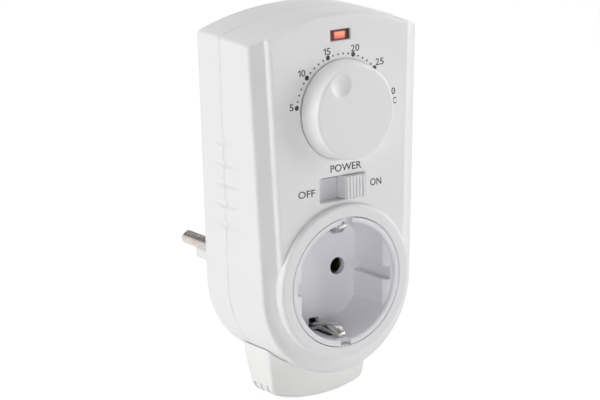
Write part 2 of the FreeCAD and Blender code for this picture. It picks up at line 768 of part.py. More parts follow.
round_edges(hood, "hood_round", "edge_break * 2", hood_rim)
room = upright(hood, "hood_room_outline", hood_front_y + hood_wall)
hood_outline(room, hood_wall, hood_seat + hood_wall)
hood_bottom_depth = hood_depth - (hood_bottom + hood_top_z) * math.tan(math.radians(hood_back_slope))
pocket(hood, "hood_room", room, str(hood_bottom_depth - 2 * hood_wall))
neck_top = -seam_half + 6.15
neck_bottom = -hood_seat - hood_wall
neck = block("hood_neck", "2 * neck_half", "2 * neck_reach", str(neck_top - neck_bottom),
             (-neck_half, neck_front_y, neck_bottom))
catch_height = 1.2
catch_side = 2.0
catch = block("hood_catch", str(2 * neck_half + 2 * catch_side), "2 * neck_reach", str(catch_height),
              (-neck_half - catch_side, neck_front_y, neck_top - catch_height))
neck_bore_half = neck_half - 1.2
neck_bore_low = neck_bottom - 3.5
neck_bore = block("hood_neck_bore", str(2 * neck_bore_half), "neck_reach + 0.2",
                  str(neck_top + 1 - neck_bore_low), (-neck_bore_half, neck_front_y + 1.0, neck_bore_low))
slope_base = hood_bottom + 2 * hood_corner
slope_foot = hood_back_y - (slope_base + hood_top_z) * math.tan(math.radians(hood_back_slope))
back_slope = block("hood_back_slope_cut", "4 * hood_top_half", "hood_depth", "hood_bottom",
                   (-2 * hood_top_half, slope_foot, -slope_base),
                   turn=Rotation(Vector(1, 0, 0), -hood_back_slope))
slits = []
slit_count = 3
slit_width = 0.8
slit_rise = 5.8
for side in (-1, 1):
    for i in range(slit_count):
        low_x = side * (hood_bottom_half + 1) - 3
        slits.append(block("hood_slit_%d_%d" % (side + 1, i), "6", str(slit_width), str(slit_rise + 1),
                           (low_x, hood_front_y + 2.4 + slit_pitch * i, -hood_bottom - 1)))
hood_solid = cut("hood_sloped", hood, [back_slope])
hood_solid = join("hood_with_neck", [hood_solid, neck, catch])
finish(cut("sensor_hood_cut", hood_solid, slits + [neck_bore]), "sensor_hood")

# Socket insert: the round cup that takes a plug, with flat lands and guide grooves left and right.
insert = new_body("socket_insert_body")
profile = sketch_on(insert, "insert_profile", "XY_Plane")
mouth_break = 0.4
flange_front_y = panel_y + cavity_drop + 0.65
flange_back_y = flange_front_y + 1.6
polygon(profile, [(0, floor_y), (recess_radius, floor_y), (recess_radius, collar_y + mouth_break),
                  (recess_radius + mouth_break, collar_y), (insert_radius, collar_y),
                  (insert_radius, flange_front_y), (insert_flange_radius, flange_front_y),
                  (insert_flange_radius, flange_back_y), (insert_body_radius, flange_back_y),
                  (insert_body_radius, insert_back_y), (0, insert_back_y)])
cup = insert.newObject("PartDesign::Revolution", "insert_cup")
cup.Profile = profile
cup.ReferenceAxis = (profile, ["V_Axis"])
cup.Angle = 360
for side, hand in ((-1, "left"), (1, "right")):
    lands = []
    land_end_y = floor_y - land_height
    for tag, y, flat in (("foot", floor_y, recess_flat), ("top", land_end_y + land_lead, recess_flat),
                         ("end", land_end_y, recess_flat + land_lead_depth)):
        section = upright(insert, "land_%s_%s" % (hand, tag), y)
        segment(section, recess_radius + 0.4, flat, side)
        lands.append(section)
    loft(insert, "land_" + hand, lands)
grooves = upright(insert, "guide_groove_outline", floor_y)
for side in (-1, 1):
    rectangle(grooves, side * recess_flat, 0, 2 * guide_groove_depth, guide_groove_width)
pocket(insert, "guide_grooves", grooves, "recess_depth + 1", forwards=True)
holes = upright(insert, "socket_hole_outline", floor_y - land_height)
for side in (-1, 1):
    ring(holes, side * pin_x, 0, "socket_hole_radius")
pocket(insert, "socket_holes", holes, "recess_depth + insert_floor")
slot_inner = recess_radius - 3.6
slot_middle = (slot_inner + recess_radius) / 2
slots = upright(insert, "clip_slot_outline", floor_y - 1)
for side in (-1, 1):
    rectangle(slots, 0, side * slot_middle, clip_slot_width, recess_radius - slot_inner - 0.2)
pocket(insert, "clip_slots", slots, "insert_floor + 2")
mouth = upright(insert, "mouth_notch_outline", collar_y - 0.5)
notch_z = (recess_radius + insert_radius) / 2
notch_tall = insert_radius - recess_radius + 0.6
for side in (-1, 1):
    rectangle(mouth, 0, side * notch_z, clip_slot_width, notch_tall)
pocket(insert, "mouth_notches", mouth, "mouth_notch_depth + 0.5")
troughs = upright(insert, "clip_trough_outline", floor_y)
for side in (-1, 1):
    rectangle(troughs, 0, side * recess_radius, clip_slot_width - 1, 2 * clip_trough_depth)
pocket(insert, "clip_troughs", troughs, "recess_depth * 0.6", forwards=True)
finish(insert, "socket_insert")

# Earth clips, upper and lower, with the bridge between them and their rivets.
bridge_y = insert_back_y + 0.3
foot_y = bridge_y + strip_thickness
clip_z = slot_middle + 0.2
clip_rise = 3.2
clip_foot_z = 9.0
clip_thickness = strip_thickness * 0.75
for side, hand in ((1, "upper"), (-1, "lower")):
    path = [(foot_y + strip_thickness / 2, side * clip_foot_z), (foot_y + strip_thickness / 2, side * clip_z),
            (floor_y + 0.5, side * clip_z), (floor_y - 13.6, side * (clip_z - clip_rise)),
            (floor_y - 16.3, side * (clip_z - clip_rise + 1.0)), (floor_y - 15.6, side * (clip_z + 0.6))]
    clip = bent_strip("earth_clip_%s_body" % hand, "YZ_Plane", 0.0, path, clip_thickness, "clip_width")
    finish(clip, "earth_clip_" + hand)
bridge_half = clip_z - 3.3
finish(block("earth_bridge_plate", "earth_strip_width", "strip_thickness", str(2 * bridge_half),
             (-earth_strip_width / 2, bridge_y, -bridge_half)), "earth_bridge")

# Plug earth strips: along the top and bottom of the boss, then in to the clips' feet.
foot_back_y = foot_y + strip_thickness * 0.875
strip_start = -boss_lead - 0.3
strip_z = boss_radius - strip_thickness / 2 - 0.15
strip_turn_z = boss_bore - 1.8
for side, hand in ((1, "upper"), (-1, "lower")):
    path = [(strip_start, side * strip_z), (channel_end, side * strip_z),
            (channel_end, side * strip_turn_z), (foot_back_y, side * strip_turn_z)]
    strip = bent_strip("plug_earth_%s_body" % hand, "YZ_Plane", 0.0, path, strip_thickness,
                       "earth_strip_width")
    finish(strip, "plug_earth_strip_" + hand)

# Live and neutral: pin, receptacle with two spring leaves, and the link from the neutral pin.
pin_head = 2.0
pin_tail = 4.0
for side, hand in ((-1, "live"), (1, "neutral")):
    pin = new_body(hand + "_pin_body")
    profile = sketch_on(pin, hand + "_pin_profile", "XY_Plane")
    radius = pin_diameter / 2
    seat = radius + pin_seat_step
    tail_radius = radius * 0.8
    head_radius = radius * 1.5
    head_y = -boss_end_wall
    tail_y = head_y - pin_head
    end_y = tail_y - pin_tail
    tip_x = radius - pin_tip_round
    tip_y = pin_length - pin_tip_round
    trace(profile, [line((0, end_y), (tail_radius, end_y)),
                    line((tail_radius, end_y), (tail_radius, tail_y)),
                    line((tail_radius, tail_y), (head_radius, tail_y)),
                    line((head_radius, tail_y), (head_radius, head_y)),
                    line((head_radius, head_y), (seat, head_y)),
                    line((seat, head_y), (seat, 0)),
                    line((seat, 0), (radius, 0)),
                    line((radius, 0), (radius, tip_y)),
                    arc((tip_x, tip_y), pin_tip_round, (radius, tip_y), (tip_x, pin_length)),
                    line((tip_x, pin_length), (0, pin_length)),
                    line((0, pin_length), (0, end_y))])
    turned = pin.newObject("PartDesign::Revolution", hand + "_pin_turned")
    turned.Profile = profile
    turned.ReferenceAxis = (profile, ["V_Axis"])
    turned.Angle = 360
    pin.Placement = Placement(Vector(side * pin_x, 0, 0), Rotation())
    finish(pin, hand + "_pin")
leaf_gap = pin_diameter / 2 + 0.15
leaf_back_y = back_y + 1.5
mouth_y = insert_back_y + 0.3 + leaf_thickness
for side, hand in ((-1, "live"), (1, "neutral")):
    x = side * pin_x
    path = [(x - leaf_gap - 0.5, mouth_y), (x - leaf_gap, mouth_y + 3), (x - leaf_gap, leaf_back_y),
            (x + leaf_gap, leaf_back_y), (x + leaf_gap, mouth_y + 3), (x + leaf_gap + 0.5, mouth_y)]
    leaves = bent_strip(hand + "_receptacle_body", "XY_Plane", 0.0, path, leaf_thickness, "leaf_height")
    finish(leaves, hand + "_receptacle")
pin_tail_y = -boss_end_wall - pin_head - pin_tail
link_start = leaf_back_y + leaf_thickness / 2
finish(block("neutral_link_bar", "pin_diameter * 0.75", str(pin_tail_y - link_start), "strip_thickness",
             (pin_x - pin_diameter * 0.375, link_start, -strip_thickness / 2)), "neutral_link")

# Dial: knob with finger dimple, pressed on the shaft of the potentiometer.
knob = new_body("dial_knob_body")
profile = sketch_on(knob, "knob_profile", "XY_Plane")
knob_front = -knob_gap - knob_height
cap = 1.8
skirt = 1.6
hub_end = wall + 1.6
face_edge = knob_face_radius - knob_round
side_edge = knob_front + knob_round
inner_y = knob_front + cap
trace(profile, [line((0, knob_front), (face_edge, knob_front)),
                arc((face_edge, side_edge), knob_round,
                    (face_edge, knob_front), (knob_face_radius, side_edge)),
                line((knob_face_radius, side_edge), (knob_radius, -knob_gap)),
                line((knob_radius, -knob_gap), (knob_radius - skirt, -knob_gap)),
                line((knob_radius - skirt, -knob_gap), (knob_face_radius - skirt, inner_y)),
                line((knob_face_radius - skirt, inner_y), (hub_radius, inner_y)),
                line((hub_radius, inner_y), (hub_radius, hub_end)),
                line((hub_radius, hub_end), (shaft_radius, hub_end)),
                line((shaft_radius, hub_end), (shaft_radius, inner_y)),
                line((shaft_radius, inner_y), (0, inner_y)),
                line((0, inner_y), (0, knob_front))])
turned = knob.newObject("PartDesign::Revolution", "knob_turned")
turned.Profile = profile
turned.ReferenceAxis = (profile, ["V_Axis"])
turned.Angle = 360
dial_turned = Placement(Vector(0, 0, dial_height), Rotation(Vector(0, 1, 0), dial_setting))
dial_frame = panel_frame.multiply(dial_turned)
knob.Placement = dial_frame
bowl_radius = (dimple_radius ** 2 + dimple_depth ** 2) / (2 * dimple_depth)
bowl_y = knob_front + dimple_depth - bowl_radius
bowl = ball("finger_dimple", str(bowl_radius), (0, bowl_y, dimple_offset), dial_frame)
finish(cut("dial_knob_cut", knob, [bowl]), "dial_knob")
pot_front = board_drop - pot_thickness
bushing_length = 5.0
bushing_front = pot_front - bushing_length
shaft_end = pot_front + 1.0
shaft = rod("pot_shaft_rod", "shaft_radius", str(shaft_end - inner_y), (0, inner_y, 0), "Y", dial_frame)
finish(shaft, "pot_shaft")
pot_can = rod("pot_can", "pot_radius", "pot_thickness", (0, pot_front, dial_height), "Y", panel_frame)
bushing = rod("pot_bushing", "shaft_radius * 1.35", str(bushing_length), (0, bushing_front, dial_height),
              "Y", panel_frame)
pot_bore = rod("pot_bore", "shaft_radius + shaft_clearance", str(bushing_length + 1.3),
               (0, bushing_front, dial_height), "Y", panel_frame)
pot_solid = join("potentiometer_solid", [pot_can, bushing])
finish(cut("potentiometer_cut", pot_solid, [pot_bore]), "potentiometer")

# Power switch: body behind the window, and the slider with its ribbed thumb piece, standing at ON.
slider_x = slider_travel / 2
body_drop = window_depth
body_depth = 8.0
blade_width = 3.0
blade_height = 0.7
blade_depth = 2.6
blade_play = 0.15
blade_top = switch_height + slider_height / 2
body_width = window_width + 3.6
body_height = window_height + 1.9
case = block("switch_case", str(body_width), str(body_depth), str(body_height),
             (-body_width / 2, body_drop, switch_height - body_height / 2), panel_frame)
slot_half = slider_travel / 2 + slider_clearance + blade_width / 2
slot_tall = blade_height + 2 * blade_play
slot = block("switch_slot", str(2 * slot_half), str(blade_depth + 0.3), str(slot_tall),
             (-slot_half, body_drop, blade_top - blade_height - blade_play), panel_frame)
terminal_width = 1.6
terminal_thickness = 0.6
terminal_pitch = 5.0
terminal_y = body_drop + body_depth - 0.4
terminals = []
for i in (-1, 0, 1):
    terminals.append(block("switch_terminal_%d" % (i + 1), str(terminal_width),
                           str(board_drop - terminal_y), str(terminal_thickness),
                           (i * terminal_pitch - terminal_width / 2, terminal_y,
                            switch_height - terminal_thickness / 2), panel_frame))
finish(cut("switch_body_cut", join("switch_solid", [case] + terminals), [slot]), "switch_body")
face_drop = -slider_proud
thumb_back = window_depth - slider_clearance
thumb_x = slider_x - slider_width / 2
thumb_z = switch_height - slider_height / 2
thumb = block("slider_thumb", "slider_width", str(thumb_back - face_drop - rib_depth), "slider_height",
              (thumb_x, face_drop + rib_depth, thumb_z), panel_frame)
blade = block("slider_blade", str(blade_width), str(blade_depth), str(blade_height),
              (slider_x - blade_width / 2, thumb_back, blade_top - blade_height), panel_frame)
thumb_ribs = []
rib_pitch = slider_width / rib_count
rib_width = rib_pitch * 0.62
for i in range(rib_count):
    rib_x = thumb_x + rib_pitch * (i + 0.5) - rib_width / 2
    thumb_ribs.append(block("slider_rib_%d" % i, str(rib_width), "rib_depth * 1.5", "slider_height",
                            (rib_x, face_drop, thumb_z), panel_frame))
finish(join("power_slider_solid", [thumb, blade] + thumb_ribs), "power_slider")

# Lamp: red lens in its window, glass neon lamp behind it with two electrodes inside.
lens_half = lamp_width / 2 - lens_clearance
lens_tall = lamp_tall - 2 * lens_clearance
flange = 1.2
lens_face = block("lens_face", str(2 * lens_half), str(wall - lens_recess + 0.2), str(lens_tall),
                  (-lens_half, lens_recess, lamp_height - lens_tall / 2), panel_frame)
lens_flange = block("lens_flange", str(2 * lens_half + 2 * flange), "1.0", str(lens_tall + 2 * flange),
                    (-lens_half - flange, wall + 0.1, lamp_height - lens_tall / 2 - flange), panel_frame)
lens_room = block("lens_room", str(2 * lens_half - 1.6), "4", str(lens_tall - 1.2),
                  (-lens_half + 0.8, lens_recess + 1.0, lamp_height - lens_tall / 2 + 0.6), panel_frame)
finish(cut("lamp_lens_cut", join("lens_solid", [lens_face, lens_flange]), [lens_room]), "lamp_lens")
neon_radius = 1.9
neon_wall = 0.35
neon_base = 1.0
neon_drop = wall + 1.4 + neon_radius
neon_length = 9.0
neon_z = lamp_height - 0.2
neon_x = -neon_length / 2
glass = rod("neon_glass", str(neon_radius), str(neon_length), (neon_x, neon_drop, neon_z), "X", panel_frame)
glass_end = ball("neon_end", str(neon_radius), (-neon_x, neon_drop, neon_z), panel_frame)
gas = rod("neon_gas", str(neon_radius - neon_wall), str(neon_length - neon_base),
          (neon_x + neon_base, neon_drop, neon_z), "X", panel_frame)
finish(cut("neon_lamp_cut", join("neon_solid", [glass, glass_end]), [gas]), "neon_lamp")
electrode_spread = 0.75
electrode_tail = 1.2
electrodes = []
for i in (-1, 1):
    z = neon_z + i * electrode_spread
    electrodes.append(rod("electrode_%d" % (i + 1), "0.4", str(neon_length - electrode_tail),
                          (neon_x - electrode_tail, neon_drop, z), "X", panel_frame))
    electrodes.append(rod("neon_lead_%d" % (i + 1), "0.3", str(board_drop - neon_drop),
                          (neon_x - electrode_tail + 0.2, neon_drop, z), "Y", panel_frame))
base_room = rod("neon_base_room", str(neon_radius), str(neon_base), (neon_x, neon_drop, neon_z),
                "X", panel_frame)
finish(cut("neon_electrodes_cut", join("neon_wires", electrodes), [base_room]), "neon_electrodes")

# Control board with its parts on the front side.
board = block("board_sheet", "2 * board_half", "board_thickness", str(board_top - board_bottom),
              (-board_half, board_drop, board_bottom), panel_frame)
board_holes = []
for i, (x, z) in enumerate(board_post_places):
    board_holes.append(rod("board_hole_%d" % i, "board_screw_radius + 0.2", "board_thickness",
                           (x, board_drop, z), "Y", panel_frame))
finish(cut("control_board_cut", board, board_holes), "control_board")


def on_board(name, width, depth, height, x, z):
    """A boxed part that stands on the front face of the board."""
    at = (x - width / 2, board_drop - depth, z - height / 2)
    return block(name, str(width), str(depth), str(height), at, panel_frame)


def axial_row(name, count, radius, length, x, z, pitch):
    """A row of rod-shaped parts lying upright on the board with their wires bent into it."""
    row = []
    lift = board_drop - radius - 0.5
    far = length / 2 + 1.6
    for i in range(count):
        at = x + i * pitch
        row.append(rod("%s_%d" % (name, i), str(radius), str(length), (at, lift, z - length / 2),
                       "Z", panel_frame))
        bends = [(at, board_drop, z - far), (at, lift, z - far),
                 (at, lift, z + far), (at, board_drop, z + far)]
        row.append(tube("%s_wire_%d" % (name, i), bends, leg_radius, panel_frame))
    return join(name + "_row", row)


leg_radius = 0.3
relay_x = -pot_radius - 0.2 - relay_width / 2
relay_z = dial_height + 5.4
finish(on_board("relay_box", relay_width, relay_depth, relay_tall, relay_x, relay_z), "relay")
film_x = pot_radius + 1.95 + film_width / 2
film_z = dial_height + 10.4
finish(on_board("film_box", film_width, film_depth, film_tall, film_x, film_z), "mains_capacitor")
can_z = relay_z - relay_tall / 2 - part_gap - can_radius
can_front = board_drop - can_length
can = rod("filter_can", "can_radius", "can_length", (relay_x, can_front, can_z), "Y", panel_frame)
finish(can, "filter_capacitor")
disc_x = relay_x + 4.1
disc_z = relay_z + relay_tall / 2 + 1.7 + disc_radius
disc_leg = 3.0
disc_y = board_drop - disc_leg - disc_thickness
varistor = [rod("varistor_disc", "disc_radius", "disc_thickness", (disc_x, disc_y, disc_z), "Y", panel_frame)]
for i in (-1, 1):
    varistor.append(rod("varistor_leg_%d" % (i + 1), str(leg_radius), str(disc_leg + 0.5),
                        (disc_x + i * 2.5, board_drop - disc_leg - 0.5, disc_z - 0.9), "Y", panel_frame))
finish(join("varistor_solid", varistor), "varistor")
chip_x = film_x + 1.0
chip_z = dial_height - 7.6
finish(on_board("chip_body", chip_width, chip_depth, chip_tall, chip_x, chip_z), "comparator_chip")
resistor_x = pot_radius + 2.0
resistor_z = chip_z - chip_tall / 2 - 6.5
finish(axial_row("resistor", 3, resistor_radius, resistor_length, resistor_x, resistor_z, resistor_pitch),
       "resistors")
diode_x = relay_x + 0.2
diode_z = can_z - can_radius - 6.0
finish(axial_row("diode", 2, diode_radius, diode_length, diode_x, diode_z, diode_pitch), "diodes")

# Screws
board_screws = []
for i, (x, z) in enumerate(board_post_places):
    board_screws.append(rod("board_screw_%d" % i, "board_screw_radius",
                            "screw_reach * 0.6 + board_thickness",
                            (x, board_drop - screw_reach * 0.6, z), "Y", panel_frame))
    board_screws.append(rod("board_screw_head_%d" % i, "board_screw_radius * 2", "1.2",
                            (x, board_drop + board_thickness, z), "Y", panel_frame))
finish(join("board_screws_all", board_screws), "board_screws")
case_screws = []
head_floor_y = back_y - rear_depth / 2
drive_depth = 1.2
drive_width = 0.7
drive_half = screw_head_radius * 0.65
drive_y = head_floor_y + screw_head_height - drive_depth
for i, (x, z) in enumerate(((-lower_screw_x, lower_screw_z), (lower_screw_x, lower_screw_z),
                            (-upper_screw_x, upper_screw_z), (upper_screw_x, upper_screw_z))):
    case_screws.append(rod("case_screw_%d" % i, "screw_radius", str(head_floor_y - seam_y + screw_reach),
                           (x, seam_y - screw_reach, z), "Y"))
    head = rod("case_screw_head_%d" % i, "screw_head_radius", "screw_head_height", (x, head_floor_y, z), "Y")
    slot_a = block("case_screw_slot_%d" % i, str(2 * drive_half), str(drive_depth), str(drive_width),
                   (x - drive_half, drive_y, z - drive_width / 2))
    slot_b = block("case_screw_cross_%d" % i, str(drive_width), str(drive_depth), str(2 * drive_half),
                   (x - drive_width / 2, drive_y, z - drive_half))
    case_screws.append(cut("case_screw_driven_%d" % i, head, [slot_a, slot_b]))
finish(join("case_screws_all", case_screws), "case_screws")

# Temperature probe in the hood, with two leads up to the board.
bead_radius = 1.5
bead_z = -hood_bottom + 5.7
bead_y = seam_y - 1.9
board_back = board_drop + board_thickness
wire_end_z = board_bottom + 5.0


def behind_board(x, height, gap):
    """A point a gap behind the board's back face."""
    return tuple(panel_frame.multVec(Vector(x, board_back + gap, height)))


finish(ball("thermistor_ball", str(bead_radius), (0, bead_y, bead_z)), "thermistor_bead")
leads = []
for i, x in enumerate((pin_x - 5.3, pin_x - 4.2)):
    start = -0.8 + 1.6 * i
    route = [(start, bead_y, bead_z + 1.2), (start, bead_y, neck_top - 5.0),
             (start + 1.0, bead_y + 0.6, neck_top - 0.6), (x - 0.6, back_y - 8.7, neck_top + 3.6),
             (x, back_y - 7.9, neck_top + 10.6), (x, back_y - 7.3, board_bottom - 7.0),
             (x, back_y - 6.3, board_bottom),
             behind_board(x, wire_end_z, 2.6), behind_board(x, wire_end_z, 0.0)]
    leads.append(tube("sensor_lead_%d" % i, route, lead_radius))
finish(join("sensor_leads_all", leads), "sensor_leads")

# Inner wiring: live pin to board, and board to the two receptacles.
feed_end_x = -pin_x - 5.3
route = [(-pin_x, pin_tail_y, 0), (-pin_x, pin_tail_y - 5.0, 0), (-pin_x + 0.3, back_y + 5.5, 5.4),
         (-pin_x + 0.1, back_y - 3.1, 6.7), (-pin_x - 2.3, back_y - 5.7, 13.0),
         (feed_end_x + 1.0, back_y - 5.5, board_bottom - 5.0),
         behind_board(feed_end_x, wire_end_z, 3.4), behind_board(feed_end_x, wire_end_z, 0.0)]
finish(tube("live_feed_wire", route, wire_radius), "live_feed_wire")
tap_y = mouth_y + 4.0
tap_end_z = wire_end_z - 1.0
for side, hand in ((-1, "switched_live_wire"), (1, "neutral_tap_wire")):
    end_x = side * (pin_x - 1.0)
    route = [(side * pin_x, tap_y, leaf_height / 2), (side * pin_x, tap_y, leaf_height / 2 + 5.4),
             (side * (pin_x - 0.4), back_y - 9.3, 15.0),
             (side * (pin_x - 0.8), back_y - 6.5, board_bottom - 4.6),
             behind_board(end_x, tap_end_z, 3.4), behind_board(end_x, tap_end_z, 0.0)]
    finish(tube(hand, route, wire_radius), hand)

doc.recompute()
faults = []
for item in doc.Objects:
    if "Invalid" in item.State or "Error" in item.State:
        faults.append("%s %s" % (item.Name, item.State))
for name, item in pieces:
    if item.Shape.isNull() or not item.Shape.isValid():
        faults.append("shape " + name)
if faults:
    raise SystemExit("failed: " + ", ".join(faults))
for name, item in pieces:
    item.Shape.exportStep("parts/%s.step" % name)
    print("%-24s %2d solids  %9.2f mm3" % (name, len(item.Shape.Solids), item.Shape.Volume))
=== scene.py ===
import bpy
import numpy as np
from mathutils import Matrix, Vector


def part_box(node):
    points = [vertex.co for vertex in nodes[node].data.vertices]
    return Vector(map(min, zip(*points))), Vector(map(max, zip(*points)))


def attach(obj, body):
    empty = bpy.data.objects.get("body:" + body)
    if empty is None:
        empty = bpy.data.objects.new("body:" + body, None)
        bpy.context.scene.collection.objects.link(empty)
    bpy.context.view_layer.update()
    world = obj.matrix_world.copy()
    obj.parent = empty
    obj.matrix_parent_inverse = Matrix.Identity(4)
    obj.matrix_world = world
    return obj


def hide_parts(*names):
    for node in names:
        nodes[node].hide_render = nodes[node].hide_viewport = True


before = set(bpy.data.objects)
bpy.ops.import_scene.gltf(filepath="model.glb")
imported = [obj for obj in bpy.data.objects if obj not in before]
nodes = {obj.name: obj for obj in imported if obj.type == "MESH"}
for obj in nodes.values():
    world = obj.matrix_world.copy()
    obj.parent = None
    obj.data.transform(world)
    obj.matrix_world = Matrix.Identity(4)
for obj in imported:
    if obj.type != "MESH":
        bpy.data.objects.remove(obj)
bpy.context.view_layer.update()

# Case: two shells of white impact-proof plastic, injection moulded in tools with a fine spark-eroded
# skin. They meet at the parting line and four screws hold them; hands rub the outer corners smoother.
case_white = (0.855, 0.855, 0.855, 1)
case_shade = (0.835, 0.835, 0.835, 1)
drift_scale = 38.0
skin_scale = 2600.0
skin_strength = 0.35
drift_gloss = 0.08
rub_gloss = 0.14


class Pigment:
    """A socket of a finish's node tree. Plain arithmetic on it adds one Math node for each sign."""

    def __init__(self, tree, socket=None):
        self.tree = tree
        self.socket = socket

    def node(self, kind, settings, sockets, give=0):
        """Add one node: its settings first, a ramp's two stops among them, then its sockets' values
        or links. What comes back wraps the output of the given name or number."""
        made = self.tree.nodes.new(kind)
        for name, value in settings.items():
            if name == "stops":
                for element, (position, colour) in zip(made.color_ramp.elements, value):
                    element.position = position
                    element.color = colour
            else:
                setattr(made, name, value)
        for name, value in sockets.items():
            if isinstance(value, Pigment):
                self.tree.links.new(value.socket, made.inputs[name])
            else:
                made.inputs[name].default_value = value
        return Pigment(self.tree, made.outputs[give] if len(made.outputs) else None)

    def sign(self, operation, left, right):
        """One Math node of two values."""
        return self.node("ShaderNodeMath", {"operation": operation}, {0: left, 1: right})

    def __add__(self, other):
        return self.sign("ADD", self, other)

    def __radd__(self, other):
        return self.sign("ADD", other, self)

    def __sub__(self, other):
        return self.sign("SUBTRACT", self, other)

    def __rsub__(self, other):
        return self.sign("SUBTRACT", other, self)

    def __mul__(self, other):
        return self.sign("MULTIPLY", self, other)

    def __rmul__(self, other):
        return self.sign("MULTIPLY", other, self)


def open_finish(name):
    """A new finish with an empty tree, and the pigment that mixes it."""
    finish = bpy.data.materials.new(name)
    finish.use_nodes = True
    finish.node_tree.nodes.clear()
    return finish, Pigment(finish.node_tree)


def spot_on(mix):
    """The spot on the piece, in metres along the object's own axes."""
    return mix.node("ShaderNodeTexCoord", {}, {}, "Object")


def noise(mix, place, scale, detail):
    """A cloudy share from 0 to 1, of the given scale per metre and fineness."""
    return mix.node("ShaderNodeTexNoise", {}, {"Vector": place, "Scale": scale, "Detail": detail})


def rounded_corners(mix, radius):
    """The surface's normal with its corners read as rounded to the radius."""
    return mix.node("ShaderNodeBevel", {"samples": 6}, {"Radius": radius}, "Normal")


def bumped(mix, height, strength, reach, normal=None):
    """The normal tilted by a height of the given strength and reach in metres."""
    sockets = {"Strength": strength, "Distance": reach, "Height": height}
    if normal is not None:
        sockets["Normal"] = normal
    return mix.node("ShaderNodeBump", {}, sockets)


def between(mix, share, first, second):
    """The colour that goes from the first to the second as the share goes from 0 to 1."""
    return mix.node("ShaderNodeMix", {"data_type": "RGBA"}, {0: share, 6: first, 7: second}, 2)


def close_finish(mix, sockets):
    """Give the shader its sockets and join it to the surface."""
    shader = mix.node("ShaderNodeBsdfPrincipled", {}, sockets, "BSDF")
    mix.node("ShaderNodeOutputMaterial", {}, {"Surface": shader})


def put_on(finish, names):
    """Every named CAD node takes this finish in its own material slots."""
    for name in names:
        for pocket in nodes[name].material_slots:
            pocket.material = finish


def moulded_plastic(name, colour, shade, gloss, corner, skin, bands=()):
    """Moulded plastic: a slow drift between two near colours, a roughness that drifts with it and
    falls on the corners, a fine grained skin of the given height, and corners read as rounded to
    the given radius. Each painted band is a middle along X, half a width and a colour."""
    finish, mix = open_finish(name)
    place = spot_on(mix)
    drift = noise(mix, place, drift_scale, 3.0)
    grain = noise(mix, place, skin_scale, 2.0)
    rounded = rounded_corners(mix, corner)
    flat = mix.node("ShaderNodeNewGeometry", {}, {}, "Normal")
    facing = mix.node("ShaderNodeVectorMath", {"operation": "DOT_PRODUCT"},
                      {0: rounded, 1: flat}, "Value")
    relief = bumped(mix, grain, skin_strength, skin, rounded)
    paint = between(mix, drift, colour, shade)
    if bands:
        along = mix.node("ShaderNodeSeparateXYZ", {}, {"Vector": place}, "X")
    for middle, half, band in bands:
        on_band = mix.node("ShaderNodeMath", {"operation": "COMPARE"}, {0: along, 1: middle, 2: half})
        paint = between(mix, on_band, paint, band)
    close_finish(mix, {"Base Color": paint,
                       "Roughness": gloss + drift * drift_gloss - (1 - facing) * rub_gloss,
                       "Normal": relief})
    return finish


put_on(moulded_plastic("case_plastic", case_white, case_shade, gloss=0.36, corner=0.0009, skin=0.00006),
       ["front_cover", "rear_cover"])

# Sensor hood: a slotted pocket of white plastic, clipped under the case so that room air reaches the
# probe. It is moulded in a smaller tool, with a smoother skin and a slightly warmer white, which is
# also set brighter than the case's white as painted light.
put_on(moulded_plastic("hood_plastic", (0.90, 0.90, 0.89, 1), (0.88, 0.88, 0.87, 1),
                       gloss=0.33, corner=0.0006, skin=0.00004),
       ["sensor_hood"])

# Dial knob: a round cap of white plastic with a polished face and a thumb dimple for its pointer,
# pressed on its shaft. The slider's ribbed thumb piece is moulded in the same way.
put_on(moulded_plastic("knob_plastic", (0.86, 0.86, 0.865, 1), (0.845, 0.845, 0.85, 1),
                       gloss=0.3, corner=0.0009, skin=0.00002),
       ["dial_knob"])
put_on(moulded_plastic("slider_plastic", (0.86, 0.86, 0.87, 1), (0.845, 0.845, 0.86, 1),
                       gloss=0.3, corner=0.0003, skin=0.00002),
       ["power_slider"])

# Socket insert: the cup that takes a plug, in a harder heat-proof plastic that is a shade cooler than
# the case. It comes smooth from a polished tool and the collar holds it by its rim.
put_on(moulded_plastic("insert_plastic", (0.835, 0.835, 0.87, 1), (0.82, 0.82, 0.86, 1),
                       gloss=0.3, corner=0.0004, skin=0.00002),
       ["socket_insert"])

# Slide switch: its closed body of pale grey heat-proof plastic shows at the bottom of the switch's
# window and guides the slider. It is moulded round its three tags, which are soldered to the board.
put_on(moulded_plastic("switch_plastic", (0.74, 0.74, 0.77, 1), (0.72, 0.72, 0.75, 1),
                       gloss=0.35, corner=0.0003, skin=0.00002),
       ["switch_body"])

# Plug pins: brass bar with the fine lines of its drawing, turned to a round end and a head that holds
# it in the boss, and nickel plated, so that it is bright and a little warm.
line_scale = (2600.0, 90.0, 2600.0)
line_strength = 0.25
line_reach = 0.00002
line_gloss = 0.12
cloud_scale = 160.0
stain_from = 0.4
stain_to = 0.75
metal_corner = 0.0002


def drawn_metal(name, colour, tarnish, gloss):
    """Bright metal: fine lines that run along Y, in its roughness and its height, and patches of
    tarnish that come in as a cloud goes from one share to another."""
    finish, mix = open_finish(name)
    place = spot_on(mix)
    drawn = mix.node("ShaderNodeMapping", {}, {"Vector": place, "Scale": line_scale})
    lines = noise(mix, drawn, 1.0, 4.0)
    cloud = noise(mix, place, cloud_scale, 4.0)
    relief = bumped(mix, lines, line_strength, line_reach, rounded_corners(mix, metal_corner))
    stops = [(stain_from, (0, 0, 0, 1)), (stain_to, (1, 1, 1, 1))]
    stained = mix.node("ShaderNodeValToRGB", {"stops": stops}, {"Fac": cloud})
    close_finish(mix, {"Base Color": between(mix, stained, colour, tarnish), "Metallic": 1.0,
                       "Roughness": gloss + lines * line_gloss, "Normal": relief})
    return finish


